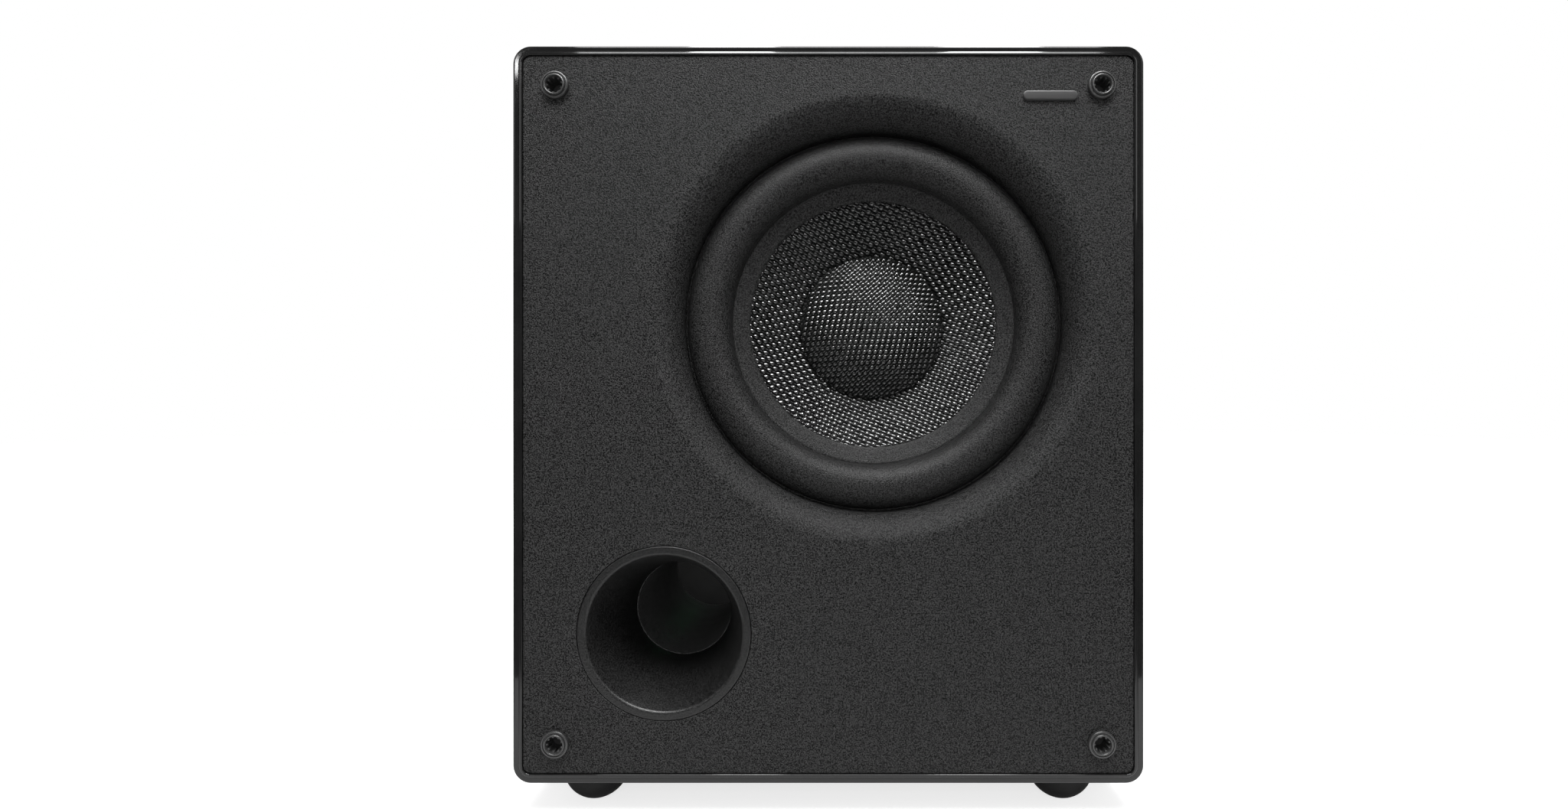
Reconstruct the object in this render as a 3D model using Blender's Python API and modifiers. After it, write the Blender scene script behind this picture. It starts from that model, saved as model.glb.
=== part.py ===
"""Active bass-reflex subwoofer with a ten-inch driver, built as an assembly of separate pieces.

Metres, +Z up. The front faces -Y, and the origin lies on the floor under the middle of the whole
object. Along the cabinet, places are given as a depth: how far a point lies behind the front face.
"""

import math

import bmesh
import bpy
from mathutils import Matrix, Vector

# Cabinet
CABINET_W = 0.390
CABINET_H = 0.456
CABINET_D = 0.402
CORNER_R = 0.011
EDGE_R = 0.002
WALL = 0.018
BORDER = 0.006
PANEL_T = 0.025
PANEL_CORNER_R = 0.0055
PANEL_EDGE = 0.0006
BAFFLE_T = 0.018
BRACE_DEPTH = 0.175
BRACE_T = 0.018
FOOT_H = 0.022
FOOT_X = 0.1525
FOOT_INSET = 0.035
FOOT_R = 0.0215
FOOT_FLAT_R = 0.0071
GAP = 0.0003

# What stands out of the cabinet, which decides where the middle of the object is
SOCKET_PROUD = 0.004
HEATSINK_PROUD = 0.020
FRONT_Y = -(CABINET_D + HEATSINK_PROUD - SOCKET_PROUD) / 2
MIDDLE_Z = FOOT_H + CABINET_H / 2

# Driver
DRIVER_X = 0.0292
DRIVER_Z = FOOT_H + 0.2873
MOUTH_R = 0.136
THROAT_R = 0.1215
FLARE_DEPTH = 0.024
FLANGE_R = 0.136
FLANGE_DEPTH = 0.0283
FLANGE_T = 0.0027
CUTOUT_R = 0.1185
REBATE_R = 0.139
REBATE_DEPTH = 0.0333
SCREW_CIRCLE_R = 0.1305
DRIVER_SCREWS = 6
SCREW_HOLE_R = 0.0026
SCREW_SHANK_R = 0.0022
SCREW_HEAD_R = 0.0043
SCREW_HEAD_H = 0.0022
SCREW_TIP_DEPTH = 0.041
LIP_R = 0.1255
ROLL_OUTER_R = 0.1205
ROLL_INNER_R = 0.0918
ROLL_H = 0.014
RUBBER_T = 0.001
RUBBER_SKIN = 0.0007
LANDING_R = 0.0804
LANDING_DEPTH = 0.0253
LANDING_SLOPE = 0.40
CONE_R = 0.091
CONE_BEND_R = 0.080
CONE_T = 0.0012
NECK_R = 0.0261
NECK_DEPTH = 0.0605
CAP_R = 0.048
CAP_DEPTH = 0.0478
CAP_APEX_DEPTH = 0.030
CAP_T = 0.001
COIL_R = 0.0258
FORMER_T = 0.0004
FORMER_DEPTHS = (0.057, 0.104)
WINDING_T = 0.0012
WINDING_DEPTHS = (0.080, 0.100)
SPIDER_T = 0.0008
SPIDER_R = 0.076
LEDGE_DEPTH = 0.067
TOP_PLATE_DEPTH = 0.0863
TOP_PLATE_T = 0.008
MAGNET_R = 0.070
MAGNET_T = 0.030
YOKE_T = 0.010

# Reflex port
PORT_X = -0.1017
PORT_Z = FOOT_H + 0.0927
PORT_R = 0.033
PORT_MOUTH_R = 0.0503
PORT_HORN_R = 0.0485
PORT_HORN_POWER = 1.6
PORT_FLANGE_R = 0.0539
PORT_FLANGE_T = 0.006
PORT_FLARE_DEPTH = 0.070
PORT_TUBE_DEPTH = 0.215
PORT_END_DEPTH = 0.245
PORT_END_OPENING = 0.014
PORT_HOLE_R = 0.0485
PORT_WALL = 0.003

# Amplifier on the back
PLATE_W = 0.230
PLATE_H = 0.272
PLATE_T = 0.003
GASKET_T = 0.0012
AMP_CUTOUT_W = 0.204
AMP_CUTOUT_H = 0.244
CONTROL_Z = MIDDLE_Z - 0.004
MAINS_Z = MIDDLE_Z - 0.100
VOLUME_X = -0.062
CROSSOVER_X = 0.062
PHASE_X = -0.016
MODE_X = 0.016
LED_X = 0.040
JACK_X = CROSSOVER_X
JACK_SPOTS = [(JACK_X, MIDDLE_Z - 0.038), (JACK_X, MIDDLE_Z - 0.056)]
JACK_R = 0.0042
SLIDER_TRAVEL = 0.004
KNOB_R = 0.010
SHAFT_R = 0.003
INLET_X = -0.062
ROCKER_X = -0.014
ROCKER_DEPTH = 0.405
ROCKER_TILT = math.radians(10)
FUSE_X = 0.030
PLATE_DEPTH = CABINET_D + 2 * GAP + GASKET_T
PLATE_BACK = PLATE_DEPTH + PLATE_T
BOARD_DEPTHS = (0.3911, 0.3927)
CONTROL_DEPTHS = (BOARD_DEPTHS[1] + GAP, PLATE_DEPTH - GAP)
BEZEL_DEPTHS = (PLATE_BACK + GAP, PLATE_BACK + 0.003)
SLOT_W = 0.0092
SLOT_H = 0.0044

# Sides of the round pieces
LARGE, MEDIUM, SMALL, TINY = 28, 20, 14, 8
FOOT_SIDES = 16


def clear_scene():
    for obj in list(bpy.data.objects):
        bpy.data.objects.remove(obj, do_unlink=True)


def new_collection(name):
    collection = bpy.data.collections.new(name)
    bpy.context.scene.collection.children.link(collection)
    return collection


clear_scene()
PARTS = new_collection("subwoofer")
CUTTERS = new_collection("cutters")
FACING_FRONT = (math.radians(90), 0, 0)


def finish(name, colour, roughness, metallic=0.0):
    material = bpy.data.materials.new(name)
    material.use_nodes = True
    shader = material.node_tree.nodes["Principled BSDF"]
    shader.inputs["Base Color"].default_value = (*colour, 1)
    shader.inputs["Roughness"].default_value = roughness
    shader.inputs["Metallic"].default_value = metallic
    return material


LACQUER = finish("gloss_lacquer", (0.008, 0.008, 0.009), 0.08)
SATIN = finish("satin_panel", (0.035, 0.035, 0.036), 0.45)
BOARD = finish("fibreboard", (0.36, 0.25, 0.16), 0.85)
RUBBER = finish("black_rubber", (0.015, 0.015, 0.015), 0.6)
FOAM = finish("gasket_foam", (0.03, 0.03, 0.03), 0.9)
FIBRE = finish("woven_fibre", (0.05, 0.05, 0.052), 0.35)
PLASTIC = finish("black_plastic", (0.02, 0.02, 0.02), 0.4)
BASKET_METAL = finish("coated_casting", (0.03, 0.03, 0.03), 0.5, 0.6)
STEEL = finish("zinc_steel", (0.55, 0.55, 0.55), 0.3, 1)
FERRITE = finish("ferrite", (0.06, 0.06, 0.065), 0.6)
COPPER = finish("copper", (0.72, 0.38, 0.2), 0.3, 1)
CLOTH = finish("treated_cloth", (0.5, 0.33, 0.14), 0.8)
ALUMINIUM = finish("black_aluminium", (0.03, 0.03, 0.03), 0.35, 0.9)
CIRCUIT = finish("circuit_laminate", (0.02, 0.16, 0.06), 0.45)
BRIGHT = finish("bright_metal", (0.7, 0.7, 0.7), 0.2, 1)
LENS = finish("indicator_lens", (0.1, 0.5, 0.15), 0.15)


def depth_y(depth):
    return FRONT_Y + depth


def own_material(obj, material):
    """Gives the object its own copy of a finish."""
    copy = material.copy()
    copy.name = f"{obj.name}_{material.name}"
    obj.data.materials.append(copy)


def show(obj, material):
    PARTS.objects.link(obj)
    own_material(obj, material)
    return obj


def as_cutter(obj):
    CUTTERS.objects.link(obj)
    obj.hide_render = True
    obj.display_type = "WIRE"
    return obj


def boolean(obj, other, operation="DIFFERENCE"):
    modifier = obj.modifiers.new(other.name, "BOOLEAN")
    modifier.operation = operation
    modifier.solver = "EXACT"
    modifier.object = other
    return obj


def bevel(obj, width, segments=1, angle=40):
    modifier = obj.modifiers.new("rounded_edges", "BEVEL")
    modifier.width = width
    modifier.segments = segments
    modifier.limit_method = "ANGLE"
    modifier.angle_limit = math.radians(angle)
    return obj


def circle(radius, steps, centre=(0, 0)):
    turns = [2 * math.pi * k / steps for k in range(steps)]
    return [
        (centre[0] + radius * math.cos(a), centre[1] + radius * math.sin(a)) for a in turns
    ]


def rounded_rectangle(width, height, radius, centre=(0, 0), steps=3):
    points = []
    for quarter, (side_x, side_y) in enumerate(((1, 1), (-1, 1), (-1, -1), (1, -1))):
        middle_x = centre[0] + side_x * (width / 2 - radius)
        middle_y = centre[1] + side_y * (height / 2 - radius)
        for step in range(steps + 1):
            angle = math.radians(90) * (quarter + step / steps)
            points.append((middle_x + radius * math.cos(angle), middle_y + radius * math.sin(angle)))
    return points


def rectangle(width, height, centre=(0, 0)):
    x, y = centre
    corners = ((1, 1), (-1, 1), (-1, -1), (1, -1))
    return [(x + side_x * width / 2, y + side_y * height / 2) for side_x, side_y in corners]


def extruded(name, outlines, thickness, location, rotation=FACING_FRONT, edge=0.0):
    """A mesh object from a flat outline, and any holes in it, with its edges rounded by edge."""
    curve = bpy.data.curves.new(name, "CURVE")
    curve.dimensions = "2D"
    curve.fill_mode = "BOTH"
    curve.extrude = thickness / 2 - edge
    curve.bevel_depth = edge
    curve.bevel_resolution = 1
    curve.offset = -edge
    for outline in outlines:
        spline = curve.splines.new("POLY")
        spline.points.add(len(outline) - 1)
        spline.use_cyclic_u = True
        for point, (x, y) in zip(spline.points, outline):
            point.co = (x, y, 0, 1)
    flat = bpy.data.objects.new(name + "_outline", curve)
    flat.location = location
    flat.rotation_euler = rotation
    PARTS.objects.link(flat)
    bpy.context.view_layer.update()
    graph = bpy.context.evaluated_depsgraph_get()
    mesh = bpy.data.meshes.new_from_object(flat.evaluated_get(graph))
    solid = bpy.data.objects.new(name, mesh)
    solid.matrix_world = flat.matrix_world
    bpy.data.objects.remove(flat, do_unlink=True)
    weld(mesh)
    return solid


def weld(mesh):
    shape = bmesh.new()
    shape.from_mesh(mesh)
    bmesh.ops.remove_doubles(shape, verts=shape.verts, dist=1e-6)
    shape.to_mesh(mesh)
    shape.free()


def plate(name, outlines, depths, centre=(0, 0), edge=0.0):
    """A flat outline facing the front, which fills the depths from the first to the second."""
    near, far = depths
    place = (centre[0], depth_y((near + far) / 2), centre[1])
    return extruded(name, outlines, far - near, place, edge=edge)


def turned(name, profile, location, steps, rotation=(0, 0, 0), ring=True):
    """A profile of (radius, height) points turned about the object's own Z axis."""
    count = len(profile)
    edges = [(k, k + 1) for k in range(count - 1)]
    if ring:
        edges.append((count - 1, 0))
    mesh = bpy.data.meshes.new(name)
    mesh.from_pydata([(radius, 0, height) for radius, height in profile], edges, [])
    obj = bpy.data.objects.new(name, mesh)
    obj.location = location
    obj.rotation_euler = rotation
    screw = obj.modifiers.new("turn", "SCREW")
    screw.steps = steps
    screw.render_steps = steps
    screw.use_smooth_shade = True
    screw.use_merge_vertices = True
    screw.merge_threshold = 0.00001
    return obj


def bored(name, profile, centre, steps, ring=True):
    """A profile of (radius, depth) points turned about the front-to-back axis through centre."""
    heights = [(radius, -depth) for radius, depth in profile]
    place = (centre[0], depth_y(0), centre[1])
    return turned(name, heights, place, steps, FACING_FRONT, ring)


def disc(radius, near, far):
    """The profile of a solid disc between two depths."""
    return [(0, near), (radius, near), (radius, far), (0, far)]


def sleeve(inner, outer, near, far):
    """The profile of a plain ring between two depths."""
    return [(outer, near), (outer, far), (inner, far), (inner, near)]


def block(name, size, centre):
    """A box of size (width, depth, height) about a centre (x, depth, z)."""
    mesh = bpy.data.meshes.new(name)
    shape = bmesh.new()
    bmesh.ops.create_cube(shape, size=1, matrix=Matrix.Diagonal((*size, 1)))
    shape.to_mesh(mesh)
    shape.free()
    obj = bpy.data.objects.new(name, mesh)
    obj.location = (centre[0], depth_y(centre[1]), centre[2])
    return obj


def pins(name, spots, radius, depths, steps):
    """Equal cylinders facing the front, one at each spot (x, z), as one cutter."""
    near, far = depths
    shape = bmesh.new()
    for x, z in spots:
        place = Matrix.Translation((x, depth_y((near + far) / 2), z))
        place @= Matrix.Rotation(math.radians(90), 4, "X")
        bmesh.ops.create_cone(
            shape,
            cap_ends=True,
            segments=steps,
            radius1=radius,
            radius2=radius,
            depth=far - near,
            matrix=place,
        )
    mesh = bpy.data.meshes.new(name)
    shape.to_mesh(mesh)
    shape.free()
    return as_cutter(bpy.data.objects.new(name, mesh))


def smooth_route(points, per_span):
    """A Catmull-Rom curve through the points."""
    ends = [points[0] * 2 - points[1], *points, points[-1] * 2 - points[-2]]
    route = []
    for before, here, there, after in zip(ends, ends[1:], ends[2:], ends[3:]):
        for step in range(per_span):
            t = step / per_span
            route.append(
                0.5
                * (
                    2 * here
                    + (there - before) * t
                    + (2 * before - 5 * here + 4 * there - after) * t**2
                    + (3 * here - before - 3 * there + after) * t**3
                )
            )
    return [*route, points[-1]]


def wire(name, points, radius, per_span):
    """A round wire through points given as (x, depth, z)."""
    places = [Vector((x, depth_y(depth), z)) for x, depth, z in points]
    route = smooth_route(places, per_span)
    curve = bpy.data.curves.new(name, "CURVE")
    curve.dimensions = "3D"
    curve.bevel_depth = radius
    curve.bevel_resolution = 2
    curve.use_fill_caps = True
    spline = curve.splines.new("POLY")
    spline.points.add(len(route) - 1)
    for point, place in zip(spline.points, route):
        point.co = (*place, 1)
    return bpy.data.objects.new(name, curve)


DRIVER = (DRIVER_X, DRIVER_Z)
PORT = (PORT_X, PORT_Z)
SOCKET_X = 0.1685
SOCKET_DROP = 0.025
SOCKETS = {
    "grille_socket_upper_left": (-SOCKET_X, FOOT_H + CABINET_H - SOCKET_DROP),
    "grille_socket_upper_right": (SOCKET_X, FOOT_H + CABINET_H - SOCKET_DROP),
    "grille_socket_lower_left": (-SOCKET_X, FOOT_H + SOCKET_DROP),
    "grille_socket_lower_right": (SOCKET_X, FOOT_H + SOCKET_DROP),
}
SOCKET_STEM_R = 0.006
SOCKET_STEM_DEPTH = 0.012
SCREW_ANGLES = [math.tau * (k + 0.5) / DRIVER_SCREWS for k in range(DRIVER_SCREWS)]
SCREW_SPOTS = [
    (DRIVER_X + SCREW_CIRCLE_R * math.cos(a), DRIVER_Z + SCREW_CIRCLE_R * math.sin(a))
    for a in SCREW_ANGLES
]
INNER_W = CABINET_W - 2 * WALL
INNER_H = CABINET_H - 2 * WALL
REACH = 0.005


def cabinet_shell():
    """The wrap of four walls, open at the front and back, with a rebate for the front panel."""
    centre = (0, MIDDLE_Z)
    outside = rounded_rectangle(CABINET_W, CABINET_H, CORNER_R, steps=4)
    shell = show(plate("cabinet_shell", [outside], (0, CABINET_D), centre, EDGE_R), LACQUER)
    rebate_outline = rounded_rectangle(
        CABINET_W - 2 * BORDER + 2 * GAP, CABINET_H - 2 * BORDER + 2 * GAP, PANEL_CORNER_R + GAP
    )
    rebate = plate("shell_rebate", [rebate_outline], (-REACH, PANEL_T + GAP), centre)
    boolean(shell, as_cutter(rebate))
    hollow = plate(
        "shell_hollow", [rectangle(INNER_W, INNER_H)], (-2 * REACH, CABINET_D + REACH), centre
    )
    boolean(shell, as_cutter(hollow))


def mouth_flare(segments):
    """The rounded edge of the driver's mouth, from the front face in to the throat."""
    width = MOUTH_R - THROAT_R
    angles = [math.radians(75) * (1 - k / segments) for k in range(segments + 1)]
    return [
        (MOUTH_R - width * math.cos(a), FLARE_DEPTH * (1 - math.sin(a))) for a in angles
    ]


def front_panel():
    """The thick satin front, with the flared driver mouth, the port seat and the grille sockets' holes."""
    outline = rounded_rectangle(CABINET_W - 2 * BORDER, CABINET_H - 2 * BORDER, PANEL_CORNER_R)
    panel = show(
        plate("front_panel", [outline], (0, PANEL_T), (0, MIDDLE_Z), PANEL_EDGE), SATIN
    )
    past_back = PANEL_T + REACH
    past_edge = MOUTH_R + 0.0005
    mouth = [(0, -REACH), (past_edge, -REACH), (past_edge, -0.0001), *mouth_flare(5)]
    mouth += [(THROAT_R, past_back), (0, past_back)]
    boolean(panel, as_cutter(bored("panel_mouth", mouth, DRIVER, LARGE, ring=False)))
    seat_depth = PORT_FLANGE_T + GAP
    seat = [(0, -REACH), (PORT_FLANGE_R + GAP, -REACH), (PORT_FLANGE_R + GAP, seat_depth)]
    seat += [(PORT_HOLE_R, seat_depth), (PORT_HOLE_R, past_back), (0, past_back)]
    boolean(panel, as_cutter(bored("panel_port_seat", seat, PORT, LARGE, ring=False)))
    holes = pins(
        "panel_socket_holes",
        SOCKETS.values(),
        SOCKET_STEM_R + GAP,
        (-REACH, SOCKET_STEM_DEPTH + GAP),
        SMALL,
    )
    boolean(panel, holes)


def front_baffle():
    """The board behind the panel that carries the driver in a rebate."""
    near = PANEL_T + GAP
    outlines = [
        rectangle(INNER_W - 2 * GAP, INNER_H - 2 * GAP),
        circle(PORT_HOLE_R, LARGE, (PORT_X, PORT_Z - MIDDLE_Z)),
    ]
    baffle = show(
        plate("front_baffle", outlines, (near, near + BAFFLE_T), (0, MIDDLE_Z)), BOARD
    )
    past_back = near + BAFFLE_T + REACH
    seat = [(0, 0), (REBATE_R, 0), (REBATE_R, REBATE_DEPTH), (CUTOUT_R, REBATE_DEPTH)]
    seat += [(CUTOUT_R, past_back), (0, past_back)]
    boolean(baffle, as_cutter(bored("baffle_driver_seat", seat, DRIVER, LARGE, ring=False)))
    depths = (FLANGE_DEPTH, SCREW_TIP_DEPTH + 0.001)
    boolean(baffle, pins("baffle_pilot_holes", SCREW_SPOTS, SCREW_HOLE_R, depths, TINY))


def rear_panel():
    """The back board, with the opening that the amplifier fills."""
    outlines = [
        rectangle(INNER_W - 2 * GAP, INNER_H - 2 * GAP),
        rounded_rectangle(AMP_CUTOUT_W, AMP_CUTOUT_H, 0.004),
    ]
    show(plate("rear_panel", outlines, (CABINET_D - WALL, CABINET_D), (0, MIDDLE_Z)), LACQUER)


def window_brace():
    """A board across the middle that stiffens the walls and carries the port's tube."""
    outlines = [
        rectangle(INNER_W - 2 * GAP, INNER_H - 2 * GAP),
        rounded_rectangle(0.290, 0.170, 0.020, (0, 0.090)),
        rounded_rectangle(0.180, 0.130, 0.020, (0.052, -0.120)),
        circle(PORT_R + PORT_WALL + GAP, MEDIUM, (PORT_X, PORT_Z - MIDDLE_Z)),
    ]
    depths = (BRACE_DEPTH, BRACE_DEPTH + BRACE_T)
    show(plate("window_brace", outlines, depths, (0, MIDDLE_Z)), BOARD)


def feet():
    """Four rubber domes with a flat underneath and a recess for their screw."""
    sphere_z = FOOT_H - GAP - 0.0014
    start = math.acos(FOOT_FLAT_R / FOOT_R)
    dome = [
        (FOOT_R * math.cos(start * k / 4), sphere_z - FOOT_R * math.sin(start * k / 4))
        for k in range(4)
    ]
    recess = [(FOOT_FLAT_R, 0), (0.0034, 0), (0.0034, 0.010), (0.002, 0.010)]
    profile = [(FOOT_R, FOOT_H - GAP), *dome, *recess, (0.002, FOOT_H - GAP)]
    rear_inset = CABINET_D - FOOT_INSET
    for end, depth in (("front", FOOT_INSET), ("rear", rear_inset)):
        for side, x in (("left", -FOOT_X), ("right", FOOT_X)):
            foot = turned(f"foot_{end}_{side}", profile, (x, depth_y(depth), 0), FOOT_SIDES)
            show(foot, RUBBER)


def grille_sockets():
    """Rubber cups that a grille's pegs push into."""
    rim_r = 0.0078
    hole_r = 0.0047
    edge = 0.0012
    floor = SOCKET_STEM_DEPTH - 0.002
    profile = [
        (0, floor),
        (hole_r, floor),
        (hole_r, -SOCKET_PROUD),
        (rim_r - edge, -SOCKET_PROUD),
        (rim_r, edge - SOCKET_PROUD),
        (rim_r, -GAP),
        (SOCKET_STEM_R, -GAP),
        (SOCKET_STEM_R, SOCKET_STEM_DEPTH),
        (0, SOCKET_STEM_DEPTH),
    ]
    for name, centre in SOCKETS.items():
        show(bored(name, profile, centre, SMALL, ring=False), RUBBER)


def badge():
    """A plain round-ended trim bar near the upper right corner."""
    outline = rounded_rectangle(0.034, 0.006, 0.00299, steps=4)
    centre = (0.137, FOOT_H + CABINET_H - 0.031)
    show(plate("badge", [outline], (-0.0018, -GAP), centre), ALUMINIUM)


def port_curve(depth):
    """The radius of the port's mouth at a depth: a horn that opens gently towards the front."""
    along = 1 - depth / PORT_FLARE_DEPTH
    return PORT_R + (PORT_HORN_R - PORT_R) * along**PORT_HORN_POWER


def port():
    """The flared mouth, the tube and the inner flare, which sleeve over each other."""
    bore = [(PORT_R, PORT_FLARE_DEPTH)]
    bore += [(port_curve(d), d) for d in (0.050, 0.034, 0.020, 0.010, 0.003)]
    bore += [(PORT_MOUTH_R - 0.0014, 0.0009)]
    back = [(port_curve(d) + PORT_WALL, d) for d in (0.026, 0.040)]
    sleeve_in = PORT_R + PORT_WALL + GAP
    sleeve_out = sleeve_in + PORT_WALL
    tube_start = PORT_FLARE_DEPTH + 0.002
    sleeve_end = PORT_FLARE_DEPTH + 0.020
    mouth = [
        (PORT_FLANGE_R - 0.0008, 0),
        (PORT_FLANGE_R, 0.0008),
        (PORT_FLANGE_R, PORT_FLANGE_T),
        (PORT_HOLE_R - 0.0006, PORT_FLANGE_T),
        *back,
        (sleeve_out, 0.052),
        (sleeve_out, sleeve_end),
        (sleeve_in, sleeve_end),
        (sleeve_in, tube_start),
        (PORT_R, tube_start),
        *bore,
        (PORT_MOUTH_R, 0),
    ]
    show(bored("port_flare", mouth, PORT, LARGE), PLASTIC)
    tube = sleeve(PORT_R, PORT_R + PORT_WALL, tube_start + GAP, PORT_TUBE_DEPTH)
    show(bored("port_tube", tube, PORT, MEDIUM), PLASTIC)
    flare_start = PORT_TUBE_DEPTH + GAP
    length = PORT_END_DEPTH - flare_start
    flare = []
    for k in range(6):
        a = math.radians(90) * k / 5
        radius = PORT_R + PORT_END_OPENING * (1 - math.cos(a))
        flare.append((radius, flare_start + length * math.sin(a)))
    outside = [(radius + PORT_WALL, depth - 0.001) for radius, depth in flare[3:]]
    inner = [
        (sleeve_out, PORT_TUBE_DEPTH - 0.018),
        (sleeve_out, PORT_TUBE_DEPTH + 0.006),
        *outside,
        (outside[-1][0], PORT_END_DEPTH),
        *flare[::-1],
        (sleeve_in, flare_start),
        (sleeve_in, PORT_TUBE_DEPTH - 0.018),
    ]
    show(bored("port_inner_flare", inner, PORT, MEDIUM), PLASTIC)


def basket():
    """The cast frame: a flange, a conical wall with windows, the spider's ledge and the hub."""
    profile = [
        (FLANGE_R, FLANGE_DEPTH),
        (FLANGE_R, FLANGE_DEPTH + FLANGE_T),
        (CUTOUT_R - 0.001, FLANGE_DEPTH + FLANGE_T),
        (0.114, 0.040),
        (0.083, 0.066),
        (0.080, 0.071),
        (0.063, 0.083),
        (0.063, TOP_PLATE_DEPTH - GAP),
        (0.034, TOP_PLATE_DEPTH - GAP),
        (0.034, TOP_PLATE_DEPTH - 0.0035),
        (0.058, TOP_PLATE_DEPTH - 0.0035),
        (0.068, LEDGE_DEPTH),
        (0.077, LEDGE_DEPTH),
        (0.079, 0.064),
        (0.111, 0.038),
        (0.1145, FLANGE_DEPTH),
    ]
    frame = show(bored("basket", profile, DRIVER, LARGE), BASKET_METAL)
    windows = bmesh.new()
    for k in range(6):
        turn = Matrix.Rotation(math.radians(60 * k - 90), 4, "Y")
        place = turn @ Matrix.Translation((0.099, 0, 0))
        size = Matrix.Diagonal((0.044, 0.018, 0.062, 1))
        bmesh.ops.create_cube(windows, size=1, matrix=place @ size)
    mesh = bpy.data.meshes.new("basket_windows")
    windows.to_mesh(mesh)
    windows.free()
    cutter = bpy.data.objects.new("basket_windows", mesh)
    cutter.location = (DRIVER_X, depth_y(0.0515), DRIVER_Z)
    boolean(frame, as_cutter(cutter))
    depths = (FLANGE_DEPTH - REACH, FLANGE_DEPTH + REACH)
    boolean(frame, pins("basket_screw_holes", SCREW_SPOTS, SCREW_HOLE_R, depths, TINY))


def driver_fixings():
    """The foam ring under the flange and the screws through it."""
    near = FLANGE_DEPTH + FLANGE_T + GAP
    local = [(x - DRIVER_X, z - DRIVER_Z) for x, z in SCREW_SPOTS]
    outlines = [circle(FLANGE_R - 0.0005, LARGE), circle(CUTOUT_R + 0.001, LARGE)]
    outlines += [circle(SCREW_HOLE_R, TINY, spot) for spot in local]
    show(plate("driver_gasket", outlines, (near, REBATE_DEPTH - GAP), DRIVER), FOAM)
    head_back = FLANGE_DEPTH - GAP
    head_front = head_back - SCREW_HEAD_H
    profile = [
        (0, head_front),
        (SCREW_HEAD_R - 0.0013, head_front),
        (SCREW_HEAD_R, head_front + 0.0012),
        (SCREW_HEAD_R, head_back),
        (SCREW_SHANK_R, head_back),
        (SCREW_SHANK_R, SCREW_TIP_DEPTH - 0.002),
        (0, SCREW_TIP_DEPTH),
    ]
    for k, spot in enumerate(SCREW_SPOTS, 1):
        show(bored(f"driver_screw_{k}", profile, spot, TINY, ring=False), STEEL)


def landing_depth(radius):
    """The depth of the rubber's sloping landing, which lies on the cone's rim."""
    return LANDING_DEPTH + LANDING_SLOPE * (ROLL_INNER_R - radius)


def surround():
    """The half-roll rubber edge, from its lip on the flange in to its landing on the cone."""
    centre_r = (ROLL_OUTER_R + ROLL_INNER_R) / 2
    half = (ROLL_OUTER_R - ROLL_INNER_R) / 2
    lip_depth = FLANGE_DEPTH - GAP - RUBBER_SKIN
    angles = [math.pi * (1 - k / 6) for k in range(7)]

    def roll(half_width, height, drop):
        points = []
        for a in angles:
            along = (1 + math.cos(a)) / 2
            base = LANDING_DEPTH + (lip_depth - LANDING_DEPTH) * along + drop
            points.append((centre_r + half_width * math.cos(a), base - height * math.sin(a)))
        return points

    top = roll(half, ROLL_H, 0)
    underside = roll(half - RUBBER_T, ROLL_H - 0.0003, RUBBER_SKIN)
    inner_edge = landing_depth(LANDING_R)
    profile = [(LANDING_R, inner_edge), *top, (LIP_R, lip_depth), (LIP_R, lip_depth + RUBBER_SKIN)]
    profile += [*underside[::-1], (ROLL_INNER_R, LANDING_DEPTH + RUBBER_SKIN)]
    profile.append((LANDING_R, inner_edge + RUBBER_SKIN))
    show(bored("surround", profile, DRIVER, LARGE), RUBBER)


def cone_depth(radius):
    """The depth of the cone's front surface: under the landing, then a gentle curve in to its neck."""
    under_landing = landing_depth(max(radius, CONE_BEND_R)) + RUBBER_SKIN + GAP
    along = max(0, (CONE_BEND_R - radius) / (CONE_BEND_R - NECK_R))
    return under_landing + (NECK_DEPTH - under_landing) * along**0.9


def cone_and_cap():
    """The woven cone, its dust cap, the coil former and the coil, which move as one."""
    radii = [CONE_R, CONE_BEND_R, 0.070, 0.059, 0.048, 0.037, NECK_R]
    front = [(radius, cone_depth(radius)) for radius in radii]
    back = [(radius, depth + CONE_T) for radius, depth in front]
    show(bored("cone", [*back, *front[::-1]], DRIVER, LARGE), FIBRE)
    height = CAP_DEPTH - CAP_APEX_DEPTH
    dome = []
    for k in range(6):
        radius = CAP_R * math.sin(math.radians(90) * k / 5)
        dome.append((radius, CAP_APEX_DEPTH + height * (radius / CAP_R) ** 2))
    underside = [(radius, depth + CAP_T) for radius, depth in dome]
    show(bored("dust_cap", [*dome, *underside[::-1]], DRIVER, LARGE, ring=False), FIBRE)
    former = sleeve(COIL_R - FORMER_T, COIL_R, *FORMER_DEPTHS)
    show(bored("coil_former", former, DRIVER, MEDIUM), ALUMINIUM)
    winding = sleeve(COIL_R + GAP, COIL_R + GAP + WINDING_T, *WINDING_DEPTHS)
    show(bored("voice_coil", winding, DRIVER, MEDIUM), COPPER)


def spider():
    """The corrugated cloth disc that centres the coil."""
    rest = LEDGE_DEPTH - GAP - SPIDER_T
    ridges = [(0.033 + 0.006 * k, rest + 0.002 * (-1) ** k) for k in range(6)]
    top = [(COIL_R + GAP, rest), (0.029, rest), *ridges, (0.069, rest), (SPIDER_R, rest)]
    underside = [(radius, depth + SPIDER_T) for radius, depth in top]
    show(bored("spider", [*top, *underside[::-1]], DRIVER, MEDIUM), CLOTH)


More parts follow.
